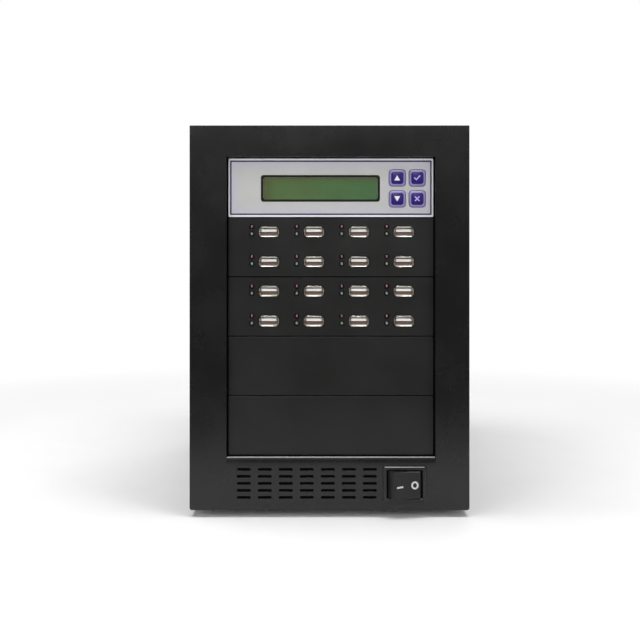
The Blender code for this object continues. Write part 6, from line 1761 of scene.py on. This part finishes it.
def make_supply():
    """Supply tray with its fan grille, and the mains inlet with its pins."""
    low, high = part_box("psu_tray")
    place = Vector((0.0, low.y, low.z))
    tray_x = high.x
    tray_top = high.z - low.z
    bm = bmesh.new()
    box(bm, (-tray_x, tray_x), (0.0, PSU_DEPTH), (0.0, tray_top))
    tray = piece("supply_tray", to_mesh("supply_tray", bm), [ZINC_DULL], node="psu_tray")
    pocket = bmesh.new()
    box(pocket, (-tray_x - OVERRUN, tray_x + OVERRUN), (SHEET, PSU_DEPTH - SHEET),
        (SHEET, tray_top + OVERRUN))
    cut(tray, pocket)
    holes = bmesh.new()
    rear = (PSU_DEPTH - SHEET - OVERRUN, PSU_DEPTH + OVERRUN)
    prism(holes, rectangle(INLET_WIDTH + 2.0 * GAP, INLET_TALL + 2.0 * GAP,
                           (INLET_X, INLET_HEIGHT)), "Y", *rear)
    pitch = 2.0 * FAN_BORE_RADIUS / (PSU_GRILLE_ROWS + 1)
    for row in range(PSU_GRILLE_ROWS):
        rise = (row - (PSU_GRILLE_ROWS - 1) / 2.0) * pitch
        length = math.sqrt(FAN_BORE_RADIUS ** 2 - rise ** 2) - PSU_GRILLE_WIDTH
        for sign in (-1.0, 1.0):
            centre = (PSU_FAN_X + sign * (PSU_GRILLE_WIDTH + length) / 2.0,
                      PSU_HEIGHT / 2.0 + rise)
            prism(holes, slot(length, PSU_GRILLE_WIDTH, centre), "Y", *rear)
    for vent in range(PSU_VENT_COUNT):
        x = (vent - (PSU_VENT_COUNT - 1) / 2.0) * PSU_VENT_PITCH
        prism(holes, slot(PSU_VENT_LENGTH, PSU_VENT_WIDTH, (x, PSU_HEIGHT / 2.0), upright=True),
              "Y", -OVERRUN, SHEET + OVERRUN)
    cut(tray, holes)
    tray.data.transform(Matrix.Translation(place))
    soften(tray, 0.2 * MM)
    screw = pan_screw_mesh(3.0 * MM, 1.7 * MM)
    offset = FAN_HOLE_PITCH / 2.0
    for number, (sx, sz) in enumerate(((-1, -1), (1, -1), (-1, 1), (1, 1)), start=1):
        at = place + Vector((PSU_FAN_X + sx * offset, PSU_DEPTH, PSU_HEIGHT / 2.0 + sz * offset))
        piece(f"supply_screw_{number}", screw, [], at=at)
    make_inlet(place + Vector((INLET_X, PSU_DEPTH, INLET_HEIGHT)))


def make_inlet(at):
    """Three-pin inlet: a flanged housing, a keyed well and bright pins."""
    body = rounded(INLET_WIDTH, INLET_TALL, GAP)
    flange = rounded(INLET_WIDTH + 2.0 * INLET_FLANGE_RIM, INLET_TALL + 2.0 * INLET_FLANGE_RIM,
                     INLET_FLANGE_RIM)
    bm = bmesh.new()
    loft(bm, [lay(o, "Y", y) for o, y in ((body, -INLET_DEPTH), (body, 0.02 * MM),
                                          (flange, 0.02 * MM), (flange, GAP + INLET_FLANGE))])
    inlet = piece("inlet_housing", to_mesh("inlet_housing", bm), [SWITCH_PLASTIC],
                  node="mains_inlet")
    floor = GAP + INLET_FLANGE - INLET_WELL_DEPTH
    w, h, key = INLET_WELL_WIDTH / 2.0, INLET_WELL_HEIGHT / 2.0, INLET_WELL_CUT
    outline = [(-w, -h), (w, -h), (w, h - key), (w - key, h), (-w + key, h), (-w, h - key)]
    well = bmesh.new()
    prism(well, outline, "Y", floor, GAP + INLET_FLANGE + OVERRUN)
    cut(inlet, well)
    inlet.data.transform(Matrix.Translation(at))
    soften(inlet, 0.4 * MM, 3)
    pins = bmesh.new()
    for x, z in ((-INLET_PIN_SPREAD, -INLET_PIN_RISE), (INLET_PIN_SPREAD, -INLET_PIN_RISE),
                 (0.0, INLET_PIN_RISE)):
        box(pins, around(x, INLET_PIN_WIDTH), (floor - SINK, floor + INLET_PIN_LENGTH),
            around(z, INLET_PIN_HEIGHT))
        box(pins, around(x, TERMINAL_THICKNESS), (-INLET_DEPTH - TERMINAL_LENGTH,
                                                  -INLET_DEPTH + SINK),
            around(z, INLET_PIN_HEIGHT))
    obj = piece("inlet_pins", to_mesh("inlet_pins", shifted(pins, at)), [BRASS])
    soften(obj, 0.35 * MM)


# CAD pieces that stay, with better finishes
def dress(node, material, edge=0.2 * MM):
    """Give a CAD node its finish, and round its edges a little."""
    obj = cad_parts[node]
    for entry in obj.material_slots:
        entry.material = material
    weld = obj.modifiers.new("weld", "WELD")
    weld.merge_threshold = 0.001 * MM
    modifier = obj.modifiers.new("edges", "BEVEL")
    modifier.width = edge
    modifier.segments = 2
    modifier.limit_method = "ANGLE"
    modifier.angle_limit = 40.0 * DEGREE
    modifier.harden_normals = True


def dress_inner_pieces():
    for node in ("base_tray", "cage_left", "cage_right", "cage_top", "psu_cover",
                 "display_frame"):
        dress(node, ZINC if node == "base_tray" else ZINC_DULL)
    dress("display_glass", make_lcd_material(), 0.15 * MM)
    dress("ribbon_cable", make_ribbon_material(), 0.15 * MM)
    face_y = face_place("display_faceplate").y
    board_front = face_y + DISPLAY_BACK + GAP
    dress("display_board", make_board_material("display_board_mask", 1, board_front,
                                               board_front + BOARD_THICKNESS), 0.1 * MM)
    key_front = face_y + KEY_BOARD_FRONT
    dress("key_board", make_board_material("key_board_mask", 1, key_front,
                                           key_front + 1.2 * MM), 0.1 * MM)
    low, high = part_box("controller_board")
    centre = (low + high) / 2.0
    half = 17.2 * MM
    sink = ((centre.x - half, centre.x + half), (centre.y - half, centre.y + half))
    dress("controller_board", make_board_material("controller_board_mask", 2, low.z,
                                                  low.z + BOARD_THICKNESS, sink), 0.15 * MM)
    low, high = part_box("psu_board")
    sink = ((-48.0 * MM, 48.0 * MM), (low.y, high.y))
    dress("psu_board", make_board_material("supply_board_mask", 2, low.z,
                                           low.z + BOARD_THICKNESS, sink), 0.15 * MM)


# Studio
CAMERA_X = -6.8 * MM
CAMERA_DISTANCE = 0.65
CAMERA_HEIGHT = 0.186
PICTURE_WIDTH = 0.457
PICTURE_CENTRE_Z = 0.1409


def make_camera():
    """Level camera in front of the tower, with the frame shifted down to the photo's."""
    data = bpy.data.cameras.new("camera")
    camera = new_object("camera", data, (CAMERA_X, FRONT_Y - CAMERA_DISTANCE, CAMERA_HEIGHT))
    camera.rotation_euler = (math.pi / 2.0, 0.0, 0.0)
    data.lens = data.sensor_width * CAMERA_DISTANCE / PICTURE_WIDTH
    data.shift_y = (PICTURE_CENTRE_Z - CAMERA_HEIGHT) / PICTURE_WIDTH
    data.clip_start, data.clip_end = 0.01, 50.0
    bpy.context.scene.camera = camera


def sees_backdrop(tree):
    """1 for rays that look at the backdrop: camera, glossy and transmission rays."""
    path = tree.nodes.new("ShaderNodeLightPath").outputs
    seen = calc(tree, "MAXIMUM", path["Is Camera Ray"], path["Is Glossy Ray"])
    return calc(tree, "MAXIMUM", seen, path["Is Transmission Ray"])


def make_world(ambient):
    world = bpy.data.worlds.new("studio_world")
    bpy.context.scene.world = world
    world.use_nodes = True
    tree = world.node_tree
    sky = tree.nodes["Background"]
    sky.inputs["Color"].default_value = (1.0, 1.0, 1.0, 1.0)
    seen = sees_backdrop(tree)
    tree.links.new(scaled(tree, seen, ambient, 1.0, 0.0, 1.0), sky.inputs["Strength"])


def make_floor():
    """Pale floor that keeps the shadow near the tower and fades into the backdrop."""
    bm = bmesh.new()
    prism(bm, circle(3.0, 96), "Z", -2.0 * MM, 0.0)
    floor = new_object("studio_floor", to_mesh("studio_floor", bm))
    material = bpy.data.materials.new("studio_floor")
    material.use_nodes = True
    tree = material.node_tree
    shader = tree.nodes["Principled BSDF"]
    shader.inputs["Roughness"].default_value = 0.9
    shader.inputs["Specular IOR Level"].default_value = 0.1
    place = tree.nodes.new("ShaderNodeTexCoord").outputs["Object"]
    grain = noise(tree, place, 0.05, 2.0)
    tree.links.new(blend(tree, grain, rgba((0.84, 0.84, 0.84)), rgba((0.88, 0.88, 0.88))),
                   shader.inputs["Base Color"])
    reach = put(tree, "ShaderNodeVectorMath", {"operation": "LENGTH"}, in0=place).outputs["Value"]
    far = scaled(tree, reach, 0.0, 1.0, 0.25, 0.75)
    glow = put(tree, "ShaderNodeEmission", Color=(1.0, 1.0, 1.0, 1.0), Strength=1.0)
    factor = calc(tree, "MULTIPLY", far, sees_backdrop(tree))
    mix = put(tree, "ShaderNodeMixShader", in0=factor, in1=shader.outputs[0],
              in2=glow.outputs[0])
    tree.links.new(mix.outputs[0], tree.nodes["Material Output"].inputs["Surface"])
    floor.data.materials.append(material)


def softbox(name, at, aim, size, power):
    data = bpy.data.lights.new(name, "AREA")
    data.shape = "RECTANGLE"
    data.size, data.size_y = size
    data.energy = power
    light = new_object(name, data, at)
    light.rotation_mode = "QUATERNION"
    light.rotation_quaternion = (Vector(aim) - Vector(at)).to_track_quat("-Z", "Y")
    return light


def make_dark_card():
    """A dark card before the tower, as studios use: only its reflection is seen."""
    bm = bmesh.new()
    y = FRONT_Y - 0.25
    box(bm, (-1.0, 1.0), (y - 5.0 * MM, y), (0.0, 0.33))
    card = new_object("dark_card", to_mesh("dark_card", bm))
    material = bpy.data.materials.new("dark_card")
    material.use_nodes = True
    shader = material.node_tree.nodes["Principled BSDF"]
    shader.inputs["Base Color"].default_value = (0.02, 0.02, 0.02, 1.0)
    shader.inputs["Roughness"].default_value = 0.9
    card.data.materials.append(material)
    card.visible_camera = False
    card.visible_diffuse = False
    card.visible_shadow = False
    card.visible_volume_scatter = False


make_front_panel()
make_shade_foam()
make_cover()
make_cover_screws()
make_feet()
make_blank_panels()
make_usb_modules()
make_display_face()
make_lens()
make_keys()
make_switch()
make_rear_panel()
make_fans()
make_supply()
dress_inner_pieces()

make_camera()
make_world(0.12)
make_floor()
make_dark_card()
softbox("top_light", (-0.05, -0.20, 1.15), (0.0, -0.05, 0.1), (1.3, 0.55), 15.0)
softbox("key_light", (-1.2, -1.5, 0.75), (0.0, -0.1, 0.15), (1.0, 1.0), 12.0)
softbox("fill_light", (1.4, -1.2, 0.65), (0.0, 0.0, 0.15), (0.9, 0.9), 6.8)
softbox("back_light", (0.5, 1.5, 1.2), (0.0, 0.1, 0.15), (1.0, 0.8), 9.0)
edge_light = softbox("edge_light", (-0.10, -1.10, 1.81), (0.0, -0.16, 0.05), (1.1, 2.0), 120.0)
edge_light.visible_diffuse = False
edge_light.visible_transmission = False

scene = bpy.context.scene
scene.view_settings.view_transform = "Standard"
